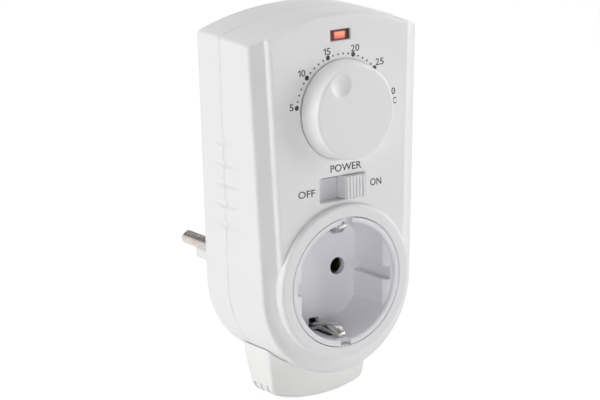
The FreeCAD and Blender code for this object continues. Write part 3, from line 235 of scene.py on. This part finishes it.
put_on(drawn_metal("pin_nickel", (0.66, 0.62, 0.57, 1), (0.52, 0.48, 0.43, 1), gloss=0.16),
       ["live_pin", "neutral_pin"])

# Plug's earth contacts: two strips of spring bronze, stamped, bent and nickel plated. They lie along
# the top and the bottom of the boss and turn in to the feet of the socket's clips.
clip_nickel = drawn_metal("clip_nickel", (0.70, 0.68, 0.64, 1), (0.56, 0.53, 0.48, 1), gloss=0.14)
put_on(clip_nickel, ["plug_earth_strip_upper", "plug_earth_strip_lower"])

# Bridge and link: plain rolled brass, stamped flat. The bridge joins the feet of the two earth clips
# behind the insert, and the link joins the neutral pin's tail to its receptacle.
put_on(drawn_metal("strip_brass", (0.70, 0.52, 0.25, 1), (0.44, 0.30, 0.15, 1), gloss=0.24),
       ["earth_bridge", "neutral_link"])

# Receptacles: the two contacts behind the socket's holes. Each is a strip of bronze, bent to a pair of
# spring leaves, with its wire soldered on. Its deep brown is partly tarnish and partly painted shade
# for the dark holes.
put_on(drawn_metal("contact_bronze", (0.20, 0.15, 0.10, 1), (0.12, 0.09, 0.06, 1), gloss=0.34),
       ["live_receptacle", "neutral_receptacle"])

# Drawn steel: the shaft on which the knob is pressed, the two electrodes of the neon lamp and the two
# leads of the probe. The electrodes and leads are plain wire, soldered to the board.
put_on(drawn_metal("wire_steel", (0.70, 0.70, 0.69, 1), (0.55, 0.54, 0.52, 1), gloss=0.28),
       ["pot_shaft", "neon_electrodes", "sensor_leads"])

# Screws: steel, cold headed and zinc plated, a little yellow in patches. Two hold the board to the
# front shell's posts and four hold the rear shell to its pillars.
put_on(drawn_metal("screw_zinc", (0.74, 0.75, 0.74, 1), (0.62, 0.62, 0.52, 1), gloss=0.3),
       ["board_screws", "case_screws"])

# Earth clips: one spring bar of nickel-plated bronze above and one below in the recess. Each is bent
# up from the floor's slot, leans in towards the plug's earth strip and turns back under at its nose.
clip_across = 0.00132
clip_thick = 0.00041
clip_corner = 0.00016
clip_bends = [(-0.03790, -0.00900, 0.0), (-0.03790, -0.01790, 0.0012), (-0.04140, -0.01800, 0.0010),
              (-0.05380, -0.01515, 0.0018), (-0.05730, -0.01890, 0.0024), (-0.04730, -0.01770, 0.0)]
bend_points = 13
quarter = np.linspace(0, np.pi / 2, 5)


def set_down(name, points, faces, finish, body, smooth=True):
    """Put the points and faces in a mesh with the finish, and let the piece ride on its body."""
    mesh = bpy.data.meshes.new(name)
    mesh.from_pydata(points.tolist(), [], faces)
    mesh.polygons.foreach_set("use_smooth", [smooth] * len(mesh.polygons))
    mesh.materials.append(finish)
    piece = bpy.data.objects.new(name, mesh)
    bpy.context.scene.collection.objects.link(piece)
    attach(piece, body)
    return piece


def joined_rings(rings, columns):
    """The quads between rings of points that follow each other, each ring closed on itself."""
    spot = np.arange(columns)
    onward = (spot + 1) % columns
    ring = np.arange(rings - 1)[:, None] * columns
    return np.stack([ring + onward, ring + columns + onward, ring + columns + spot, ring + spot],
                    axis=-1).reshape(-1, 4).tolist()


def bent_route(bends):
    """A route in the upright plane through the bends, each given as Y, Z and its reach: from one
    bend's arc straight to the next, and round each bend on the quadratic curve that leaves and meets
    its straights at the bend's reach."""
    share = np.linspace(0, 1, bend_points)[:, None]
    spots = np.array(bends)
    pieces = [spots[:1, :2]]
    for before, bend, after in zip(spots[:-2, :2], spots[1:-1], spots[2:, :2]):
        middle, reach = bend[:2], bend[2]
        enter = middle + (before - middle) / np.linalg.norm(before - middle) * reach
        leave = middle + (after - middle) / np.linalg.norm(after - middle) * reach
        pieces.append(enter * (1 - share) ** 2 + middle * 2 * share * (1 - share) + leave * share ** 2)
    return np.concatenate(pieces + [spots[-1:, :2]])


def bent_bar(name, route, across, thick, corner, finish):
    """A bar of rounded oblong section. Each section's point is the route's point, plus its share of
    the half width along X and of the half thickness along the route's normal. Past the route's two
    ends the section draws in by the corner's radius on a quarter circle."""
    along = np.gradient(route, axis=0)
    along /= np.linalg.norm(along, axis=1)[:, None]
    swing = (np.arange(4)[:, None] * np.pi / 2 + quarter).ravel()
    seat_x = np.repeat([1, -1, -1, 1], len(quarter)) * (across - corner)
    seat_n = np.repeat([1, 1, -1, -1], len(quarter)) * (thick - corner)
    draw = corner * (1 - np.cos(quarter[1:]))
    step = corner * np.sin(quarter[1:])[:, None]
    centres = np.concatenate([(route[0] - along[0] * step)[::-1], route, route[-1] + along[-1] * step])
    heading = np.concatenate([np.repeat(along[:1], len(step), 0), along,
                              np.repeat(along[-1:], len(step), 0)])
    normal = np.stack([-heading[:, 1], heading[:, 0]], axis=-1)
    radius = corner - np.concatenate([draw[::-1], np.zeros(len(route)), draw])[:, None]
    wide = seat_x + radius * np.cos(swing)
    deep = seat_n + radius * np.sin(swing)
    points = np.stack([wide, centres[:, :1] + normal[:, :1] * deep,
                       centres[:, 1:] + normal[:, 1:] * deep], axis=-1)
    rings, columns = wide.shape
    spot = np.arange(columns)
    faces = joined_rings(rings, columns)
    faces += [spot[::-1].tolist(), (spot + (rings - 1) * columns).tolist()]
    return set_down(name, points.reshape(-1, 3), faces, finish, "case")


lower_route = bent_route(clip_bends)
lower_clip = bent_bar("earth_spring_lower", lower_route, clip_across, clip_thick, clip_corner,
                      clip_nickel)
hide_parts("earth_clip_lower")
upper_clip = bent_bar("earth_spring_upper", lower_route * (1, -1), clip_across, clip_thick,
                      clip_corner, clip_nickel)
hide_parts("earth_clip_upper")

# Trough shade sheets: each earth clip bends down into a trough of the recess wall, and a thin near
# black strip lies under the metal there as painted shade, standing for the deep shadow under the clip.
shade_sheet_across = 0.00152
shade_sheet_thick = 0.00012
shade_sheet_corner = 0.00008
shade_sheet_y = np.linspace(-0.04155, -0.0517, 6)
shade_sheet_z = -0.02018
shade_sheet_black = moulded_plastic("shade_sheet_black", (0.012, 0.012, 0.013, 1), (0.02, 0.02, 0.022, 1),
                               gloss=0.75, corner=0.0001, skin=0.00004)
shade_sheet_route = np.stack([shade_sheet_y, np.full(len(shade_sheet_y), shade_sheet_z)], axis=-1)
# Painted shade: one near black strip under each earth clip.
for name, hand in (("trough_shade_sheet_lower", 1), ("trough_shade_sheet_upper", -1)):
    bent_bar(name, shade_sheet_route * (1, hand), shade_sheet_across, shade_sheet_thick, shade_sheet_corner,
             shade_sheet_black)

# Potentiometer, filter capacitor, chip, diodes and probe bead: black heat-proof plastic, transfer
# moulded with a matt skin round legs that are soldered in place. The diodes have a painted grey band.
put_on(moulded_plastic("component_black", (0.045, 0.045, 0.05, 1), (0.06, 0.06, 0.065, 1),
                       gloss=0.45, corner=0.0003, skin=0.00003),
       ["potentiometer", "filter_capacitor", "comparator_chip", "thermistor_bead"])
diode_band = [(-0.0122, 0.00035, (0.62, 0.62, 0.63, 1))]
put_on(moulded_plastic("diode_black", (0.045, 0.045, 0.05, 1), (0.06, 0.06, 0.065, 1),
                       gloss=0.3, corner=0.0003, skin=0.00002, bands=diode_band),
       ["diodes"])

# Relay, varistor, mains capacitor and resistors: a blue moulded tub, a blue dipped disc, a yellow film
# box and tan lacquered rods whose painted rings give their value. All are soldered to the board.
put_on(moulded_plastic("component_blue", (0.06, 0.17, 0.46, 1), (0.05, 0.14, 0.40, 1),
                       gloss=0.25, corner=0.0005, skin=0.00002),
       ["relay", "varistor"])
put_on(moulded_plastic("component_yellow", (0.80, 0.62, 0.10, 1), (0.74, 0.56, 0.08, 1),
                       gloss=0.3, corner=0.0004, skin=0.00002),
       ["mains_capacitor"])
resistor_rings = [(0.0113, 0.0003, (0.16, 0.06, 0.02, 1)), (0.0124, 0.0003, (0.01, 0.01, 0.01, 1)),
                  (0.0135, 0.0003, (0.75, 0.20, 0.03, 1)), (0.0153, 0.0003, (0.60, 0.45, 0.14, 1))]
put_on(moulded_plastic("component_tan", (0.70, 0.57, 0.38, 1), (0.62, 0.50, 0.33, 1),
                       gloss=0.35, corner=0.0003, skin=0.00002, bands=resistor_rings),
       ["resistors"])

# Board: a sheet of glass fibre laminate under green lacquer, screwed to the front shell's posts. The
# etched tracks stand up a little under the lacquer, and the weave shows faintly through.
lacquer_low = (0.03, 0.14, 0.06, 1)
lacquer_high = (0.04, 0.17, 0.07, 1)
lacquer_track = (0.09, 0.30, 0.12, 1)
weave_scale = 420.0
finish, mix = open_finish("board_green")
upright = mix.node("ShaderNodeMapping", {}, {"Vector": spot_on(mix), "Rotation": (np.pi / 2, 0, 0)})
tracks = mix.node("ShaderNodeTexBrick", {"offset": 0.37, "squash": 0.6, "squash_frequency": 3},
                  {"Vector": upright, "Scale": 140.0, "Mortar Size": 0.05, "Mortar Smooth": 0.1}, "Fac")
weave, cross_weave = (mix.node("ShaderNodeTexWave", {"bands_direction": direction},
                               {"Vector": upright, "Scale": weave_scale}) for direction in "XY")
cloth = (weave + cross_weave) * 0.5
lacquer = between(mix, cloth, lacquer_low, lacquer_high)
close_finish(mix, {"Base Color": between(mix, tracks, lacquer, lacquer_track),
                   "Roughness": 0.3 + cloth * 0.1,
                   "Normal": bumped(mix, tracks + cloth * 0.3, 0.3, 0.00003)})
put_on(finish, ["control_board"])

# Wires: stranded copper in extruded sheaths, brown for live, black for switched live and blue for
# neutral. Each sheath is smooth and a little oily, and its ends are soldered.
sheaths = [("sheath_brown", (0.20, 0.09, 0.05, 1), (0.24, 0.12, 0.07, 1), "live_feed_wire"),
           ("sheath_black", (0.03, 0.03, 0.03, 1), (0.045, 0.045, 0.045, 1), "switched_live_wire"),
           ("sheath_blue", (0.07, 0.19, 0.52, 1), (0.06, 0.16, 0.46, 1), "neutral_tap_wire")]
for name, colour, shade, wire in sheaths:
    put_on(moulded_plastic(name, colour, shade, gloss=0.4, corner=0.0003, skin=0.00002), [wire])

# Lamp window: a clear red block, moulded with faint ribs and held in the front shell by its flange.
# The lens itself glows in a painted patch with soft edges where the neon lamp stands behind it, and the
# rest of the window has painted shade, dim red on the left and near black towards the right.
window_ribs = (260.0, 260.0, 1900.0)
rib_wobble = 0.0014
# Painted glow and painted shade on the lens: the patch's middle, the reach where it is full and where
# it ends, the heights of its colour change, and where the shade darkens across.
painted_glow_middle = (0.0002, 0.08025)
painted_glow_full = (0.0017, 0.0008)
painted_glow_end = (0.0025, 0.0015)
glow_from = 0.0798
glow_to = 0.0818
painted_shade_from = -0.0034
painted_shade_to = 0.0022


def share_past(mix, value, low, high, kind="LINEAR"):
    """0 up to the low value and 1 past the high one, straight or in a smooth step between them."""
    return mix.node("ShaderNodeMapRange", {"interpolation_type": kind},
                    {"Value": value, "From Min": low, "From Max": high})


finish, mix = open_finish("window_red")
place = spot_on(mix)
spread = mix.node("ShaderNodeSeparateXYZ", {}, {"Vector": place}, "X")
raised = mix.node("ShaderNodeSeparateXYZ", {}, {"Vector": place}, "Z")
swirl = noise(mix, mix.node("ShaderNodeMapping", {}, {"Vector": place, "Scale": window_ribs}), 1.0, 2.0)
beside = mix.node("ShaderNodeMath", {"operation": "ABSOLUTE"}, {0: spread - painted_glow_middle[0]})
above = mix.node("ShaderNodeMath", {"operation": "ABSOLUTE"}, {0: raised - painted_glow_middle[1]})
# Painted glow: the share of the lens that emits as if lit by the neon lamp, fading at soft edges.
painted_glow_share = ((1 - share_past(mix, beside, painted_glow_full[0], painted_glow_end[0], "SMOOTHSTEP"))
             * (1 - share_past(mix, above, painted_glow_full[1], painted_glow_end[1], "SMOOTHSTEP")))
# Painted glow: orange towards the top of the patch and red below.
painted_glow_height = share_past(mix, raised + swirl * rib_wobble, glow_from, glow_to)
lens_painted_glow = between(mix, painted_glow_height, (0.62, 0.11, 0.10, 1), (1.0, 0.40, 0.25, 1))
# Painted shade: outside the patch the lens emits dim red on the left, going near black towards the
# right.
painted_shade_surround = between(mix, share_past(mix, spread, painted_shade_from, painted_shade_to),
                   (0.075, 0.010, 0.010, 1), (0.008, 0.001, 0.001, 1))
close_finish(mix, {"Base Color": (0.06, 0.004, 0.004, 1), "Roughness": 0.12,
                   "Transmission Weight": 0.25, "IOR": 1.49,
                   "Normal": bumped(mix, swirl, 0.2, 0.00003),
                   "Emission Color": between(mix, painted_glow_share, painted_shade_surround, lens_painted_glow),
                   "Emission Strength": 1.0})
put_on(finish, ["lamp_lens"])

# Neon lamp: a small glass tube behind the window, blown to a dome at one end and sealed round its two
# electrodes at the other. The gas round the electrodes glows orange.
glow_middle = (0.0003, -0.0489, 0.0801)
glow_reach = (0.0021, 0.0012, 0.0011)
glow_rows = 12
glow_columns = 20
finish, mix = open_finish("bulb_glass")
swirl = noise(mix, spot_on(mix), 500.0, 2.0)
close_finish(mix, {"Base Color": (0.98, 0.93, 0.88, 1), "Roughness": 0.03,
                   "Transmission Weight": 1.0, "IOR": 1.47,
                   "Normal": bumped(mix, swirl, 0.15, 0.00003)})
put_on(finish, ["neon_lamp"])


def swollen_ball(middle, reach, rows, columns):
    """A closed ball: each point is the middle plus the reach times the sines and cosines of its
    latitude and longitude, with one point at each pole."""
    latitude = np.linspace(-np.pi / 2, np.pi / 2, rows + 1)[1:-1, None]
    longitude = np.linspace(0, 2 * np.pi, columns, endpoint=False)[None, :]
    rings = np.stack([np.sin(latitude) + 0 * longitude, np.cos(latitude) * np.cos(longitude),
                      np.cos(latitude) * np.sin(longitude)], axis=-1).reshape(-1, 3)
    points = np.concatenate([rings, [[-1, 0, 0]], [[1, 0, 0]]]) * reach + middle
    spot = np.arange(columns)
    onward = (spot + 1) % columns
    pole = 0 * spot + len(rings)
    last = len(rings) - columns
    faces = joined_rings(rows - 1, columns)
    faces += np.stack([onward, spot, pole], 1).tolist()
    faces += np.stack([last + spot, last + onward, pole + 1], 1).tolist()
    return points, faces


finish, mix = open_finish("neon_orange")
flicker = noise(mix, spot_on(mix), 1500.0, 2.0)
close_finish(mix, {"Base Color": (1.0, 0.25, 0.08, 1), "Roughness": 0.6,
                   "Emission Color": between(mix, flicker, (1.0, 0.22, 0.06, 1), (1.0, 0.42, 0.2, 1)),
                   "Emission Strength": 3.0})
points, faces = swollen_ball(glow_middle, glow_reach, glow_rows, glow_columns)
set_down("neon_glow", points, faces, finish, "case")

# Print: dark grey ink put on the leaning front panel by a soft pad: the scale of dots round the dial
# with its numbers, the degree mark, and the words of the switch.
panel_y = -0.0577
panel_lean = np.radians(2.23)
ink_height = 0.00003
dial_up = 0.0566
dot_circle = 0.0178
dot_rings = 4
dot_spokes = 16
big_dot = 0.00083
small_dot = 0.00033
ink_dark = (0.025, 0.025, 0.028, 1)
ink_light = (0.05, 0.05, 0.055, 1)
first_angle = -82.0
step_angle = 32.8
parts_of_step = 5


def on_panel(across, up, out):
    """Points of the leaning panel: across stays X, up runs along the panel, out stands off its face."""
    return np.stack([across, panel_y + up * np.sin(panel_lean) - out * np.cos(panel_lean),
                     up * np.cos(panel_lean) + out * np.sin(panel_lean)], axis=-1)


pad_ink, mix = open_finish("pad_ink")
patches = noise(mix, spot_on(mix), 1800.0, 3.0)
close_finish(mix, {"Base Color": between(mix, patches, ink_dark, ink_light),
                   "Roughness": 0.42 + patches * 0.1,
                   "Normal": bumped(mix, patches, 0.2, 0.00002)})


def ink_dots(name, angles, radius):
    """Round dots on the dial's circle: each is a flat dome, whose height falls with the fourth power
    of the distance from its middle, at its clock angle on the circle."""
    angles = np.radians(angles)[:, None]
    ring = np.repeat(np.linspace(1 / dot_rings, 1.0, dot_rings), dot_spokes)
    spoke = np.tile(np.linspace(0, 2 * np.pi, dot_spokes, endpoint=False), dot_rings)
    across = np.append(ring * np.cos(spoke), 0.0) * radius
    up = np.append(ring * np.sin(spoke), 0.0) * radius
    out = ink_height * (1 - np.append(ring, 0.0) ** 4)
    dots = on_panel(dot_circle * np.sin(angles) + across, dial_up + dot_circle * np.cos(angles) + up,
                    out + 0 * angles)
    middle = dot_rings * dot_spokes
    spot = np.arange(dot_spokes)
    one_dot = np.stack([0 * spot + middle, spot, (spot + 1) % dot_spokes], 1).tolist()
    one_dot += [face[::-1] for face in joined_rings(dot_rings, dot_spokes)]
    faces = [[corner + start for corner in face]
             for start in range(0, len(angles) * (middle + 1), middle + 1) for face in one_dot]
    set_down(name, dots.reshape(-1, 3), faces, pad_ink, "case")


big_angles = first_angle + step_angle * np.arange(6)
small_angles = [big + step_angle * part / parts_of_step
                for big in big_angles[:-1] for part in range(1, parts_of_step)]
ink_dots("dial_marks", big_angles, big_dot)
ink_dots("dial_minor_marks", small_angles, small_dot)

ink_swell = 0.009
one_outline = np.array([(0.62, 0.0), (1.0, 0.0), (1.0, 1.0), (0.72, 1.0), (0.0, 0.78), (0.0, 0.62),
                        (0.62, 0.76)])
one_stem = [1, 2, 3, 6, 0]
one_flag = [3, 4, 5, 6]


def letter_shape(letter):
    """One letter as points between 0 and 1 each way, its back at 0 and its front at 1, with its faces.
    The 1 is a stem with a flag, its outline carried from back to front; the others come from the
    typeface."""
    if letter == "1":
        corners = len(one_outline)
        faces = joined_rings(2, corners)
        faces += [[corner + corners for corner in face] for face in (one_stem, one_flag)]
        faces += [one_stem[::-1], one_flag[::-1]]
        return np.concatenate([np.insert(one_outline, 2, side, axis=1) for side in (0, 1)]), faces
    curve = bpy.data.curves.new("letter", "FONT")
    curve.body = letter
    curve.extrude = 0.5
    curve.offset = ink_swell
    curve.resolution_u = 5
    holder = bpy.data.objects.new("letter", curve)
    bpy.context.scene.collection.objects.link(holder)
    bpy.context.view_layer.update()
    mesh = bpy.data.meshes.new_from_object(holder)
    points = np.empty(len(mesh.vertices) * 3)
    mesh.vertices.foreach_get("co", points)
    points = points.reshape(-1, 3)
    faces = [list(face.vertices) for face in mesh.polygons]
    bpy.data.objects.remove(holder)
    bpy.data.curves.remove(curve)
    bpy.data.meshes.remove(mesh)
    low = points.min(axis=0)
    return (points - low) / (points.max(axis=0) - low), faces


def ink_words(name, words):
    """Lettering, from each word's letters, its middle across and up, its width and its height: its
    shape is stretched to that size and carried on to the panel, with its back face half an ink
    height under the skin and its front face one ink height out."""
    all_points = []
    all_faces = []
    start = 0
    for letters, across, up, width, height in words:
        share, faces = letter_shape(letters)
        all_points.append(on_panel(across + (share[:, 0] - 0.5) * width,
                                   up + (share[:, 1] - 0.5) * height,
                                   ink_height * (share[:, 2] * 1.5 - 0.5)))
        all_faces += [[corner + start for corner in face] for face in faces]
        start += len(share)
    set_down(name, np.concatenate(all_points), all_faces, pad_ink, "case", False)


digit_wide = 0.0015
one_wide = 0.0010
digit_tall = 0.0022
digit_gap = 0.0003
number_circle = 0.0202
number_nudges = [("5", 0.0003, 0.0001), ("10", -0.0002, 0.00015), ("15", 0.0003, -0.0003),
                 ("20", 0.0001, -0.0003), ("25", 0.0003, 0.0003), ("30", 0.0001, 0.0004)]
numbers = []
for (number, aside, lift), angle in zip(number_nudges, np.radians(big_angles)):
    widths = [one_wide if figure == "1" else digit_wide for figure in number]
    span = sum(widths) + digit_gap * (len(widths) - 1)
    left = number_circle * np.sin(angle) + aside - span / 2
    up = dial_up + number_circle * np.cos(angle) + lift
    for figure, wide in zip(number, widths):
        numbers.append((figure, left + wide / 2, up, wide, digit_tall))
        left += wide + digit_gap
ink_words("dial_numbers", numbers)
ink_words("dial_unit", [("°C", 0.0210, 0.0567, 0.0023, 0.0022)])
ink_words("switch_title", [("POWER", 0.0014, 0.0376, 0.0124, 0.0024)])
ink_words("switch_words", [("OFF", -0.0144, 0.0308, 0.0066, 0.0023),
                           ("ON", 0.0133, 0.0311, 0.0045, 0.0023)])

# Studio floor: a wide sheet of white paper at the hood's foot. The camera and mirrors see it glow near
# white, and pure white far off; the light that it gives the object is that of plain paper.
floor_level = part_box("sensor_hood")[0][2]
floor_side = 6.0
blend_from = 0.25
blend_to = 0.9
white = (1, 1, 1, 1)


def seen_directly(mix):
    """1 where the camera, a mirror or clear glass looks at the studio, and 0 for the light it gives."""
    camera_ray = mix.node("ShaderNodeLightPath", {}, {}, "Is Camera Ray")
    mirror_ray = mix.node("ShaderNodeLightPath", {}, {}, "Is Glossy Ray")
    clear_ray = mix.node("ShaderNodeLightPath", {}, {}, "Is Transmission Ray")
    return camera_ray + mirror_ray + clear_ray


finish, mix = open_finish("studio_paper")
seen = seen_directly(mix)
paper = mix.node("ShaderNodeBsdfDiffuse", {}, {"Color": (0.88, 0.88, 0.88, 1)}, "BSDF")
thin_paper = mix.node("ShaderNodeBsdfDiffuse", {}, {"Color": (0.32, 0.32, 0.32, 1)}, "BSDF")
glow = mix.node("ShaderNodeEmission", {}, {"Color": white, "Strength": 0.84}, "Emission")
lit = mix.node("ShaderNodeAddShader", {}, {0: thin_paper, 1: glow})
away = mix.node("ShaderNodeVectorMath", {"operation": "LENGTH"}, {0: spot_on(mix)}, "Value")
far_share = share_past(mix, away, blend_from, blend_to, "SMOOTHSTEP")
clean_white = mix.node("ShaderNodeEmission", {}, {"Color": white, "Strength": 1.0}, "Emission")
swept = mix.node("ShaderNodeMixShader", {}, {0: far_share, 1: lit, 2: clean_white})
shown = mix.node("ShaderNodeMixShader", {}, {0: seen, 1: paper, 2: swept})
mix.node("ShaderNodeOutputMaterial", {}, {"Surface": shown})
mesh = bpy.data.meshes.new("studio_floor")
mesh.from_pydata([(-floor_side, -floor_side, floor_level), (floor_side, -floor_side, floor_level),
                  (floor_side, floor_side, floor_level), (-floor_side, floor_side, floor_level)],
                 [], [(0, 1, 2, 3)])
mesh.materials.append(finish)
studio_floor = bpy.data.objects.new("studio_floor", mesh)
bpy.context.scene.collection.objects.link(studio_floor)

# Studio air: white to the camera; in mirrors white low down and dark grey overhead, so that plated
# metal shows edges. It gives no light of its own.
world = bpy.data.worlds.new("studio_air")
world.use_nodes = True
world.node_tree.nodes.clear()
bpy.context.scene.world = world
mix = Pigment(world.node_tree)
mirror_ray = mix.node("ShaderNodeLightPath", {}, {}, "Is Glossy Ray")
heading = mix.node("ShaderNodeTexCoord", {}, {}, "Generated")
height = mix.node("ShaderNodeSeparateXYZ", {}, {"Vector": heading}, "Z")
sky = mix.node("ShaderNodeValToRGB", {"stops": [(0.12, white), (0.42, (0.16, 0.16, 0.17, 1))]},
               {"Fac": height})
no_light = mix.node("ShaderNodeBackground", {}, {"Color": white, "Strength": 0.0}, "Background")
air = mix.node("ShaderNodeBackground", {},
               {"Color": between(mix, mirror_ray, white, sky), "Strength": 1.0}, "Background")
both = mix.node("ShaderNodeMixShader", {}, {0: seen_directly(mix), 1: no_light, 2: air})
mix.node("ShaderNodeOutputWorld", {}, {"Surface": both})

# Lamps: eight square soft boxes aimed at the middle of the case. The strongest stand on the left and
# behind, and those in front and above even out the panel, the recess and the hood.
aim = (0, -0.03, 0.03)
lamps = [("top_lamp", (0.0, 0.0, 0.8), 0.6, 3.1), ("top_right_lamp", (0.5, -0.1, 0.7), 0.5, 0.9),
         ("front_left_lamp", (-0.5, -0.9, 0.1), 0.4, 3.2), ("right_lamp", (0.7, -0.5, 0.2), 0.5, 2.5),
         ("right_side_lamp", (0.6, -0.15, 0.1), 0.4, 0.7), ("left_lamp", (-1.3, 0.5, 0.2), 0.5, 6.2),
         ("back_lamp", (0.1, 1.1, 0.3), 0.6, 4.2), ("low_left_lamp", (-0.7, 0.1, 0.02), 0.25, 1.4)]
for name, place, side, power in lamps:
    lamp = bpy.data.lights.new(name, "AREA")
    lamp.size = side
    lamp.energy = power
    holder = bpy.data.objects.new(name, lamp)
    holder.location = place
    holder.rotation_euler = (Vector(aim) - Vector(place)).to_track_quat("-Z", "Y").to_euler()
    bpy.context.scene.collection.objects.link(holder)

# Camera: it stands to the left of the front and a little above it, where the photograph was taken
# from, with a long lens.
eye = (-0.60254, -0.84689, 0.28093)
azimuth = np.radians(36.53)
elevation = np.radians(14.347)
roll = np.radians(0.236)
ahead = np.array((np.cos(elevation) * np.sin(azimuth), np.cos(elevation) * np.cos(azimuth),
                  -np.sin(elevation)))
level = np.array((np.cos(azimuth), -np.sin(azimuth), 0.0))
right = level * np.cos(roll) + np.cross(level, ahead) * np.sin(roll)
stance = np.eye(4)
stance[:3] = np.stack([right, np.cross(right, ahead), -ahead, eye], axis=1)
camera = bpy.data.objects.new("camera", bpy.data.cameras.new("camera"))
camera.data.sensor_width = 36.0
camera.data.lens = 191.99
camera.matrix_world = Matrix(stance.tolist())
bpy.context.scene.collection.objects.link(camera)
bpy.context.scene.camera = camera
bpy.context.scene.view_settings.view_transform = "Standard"
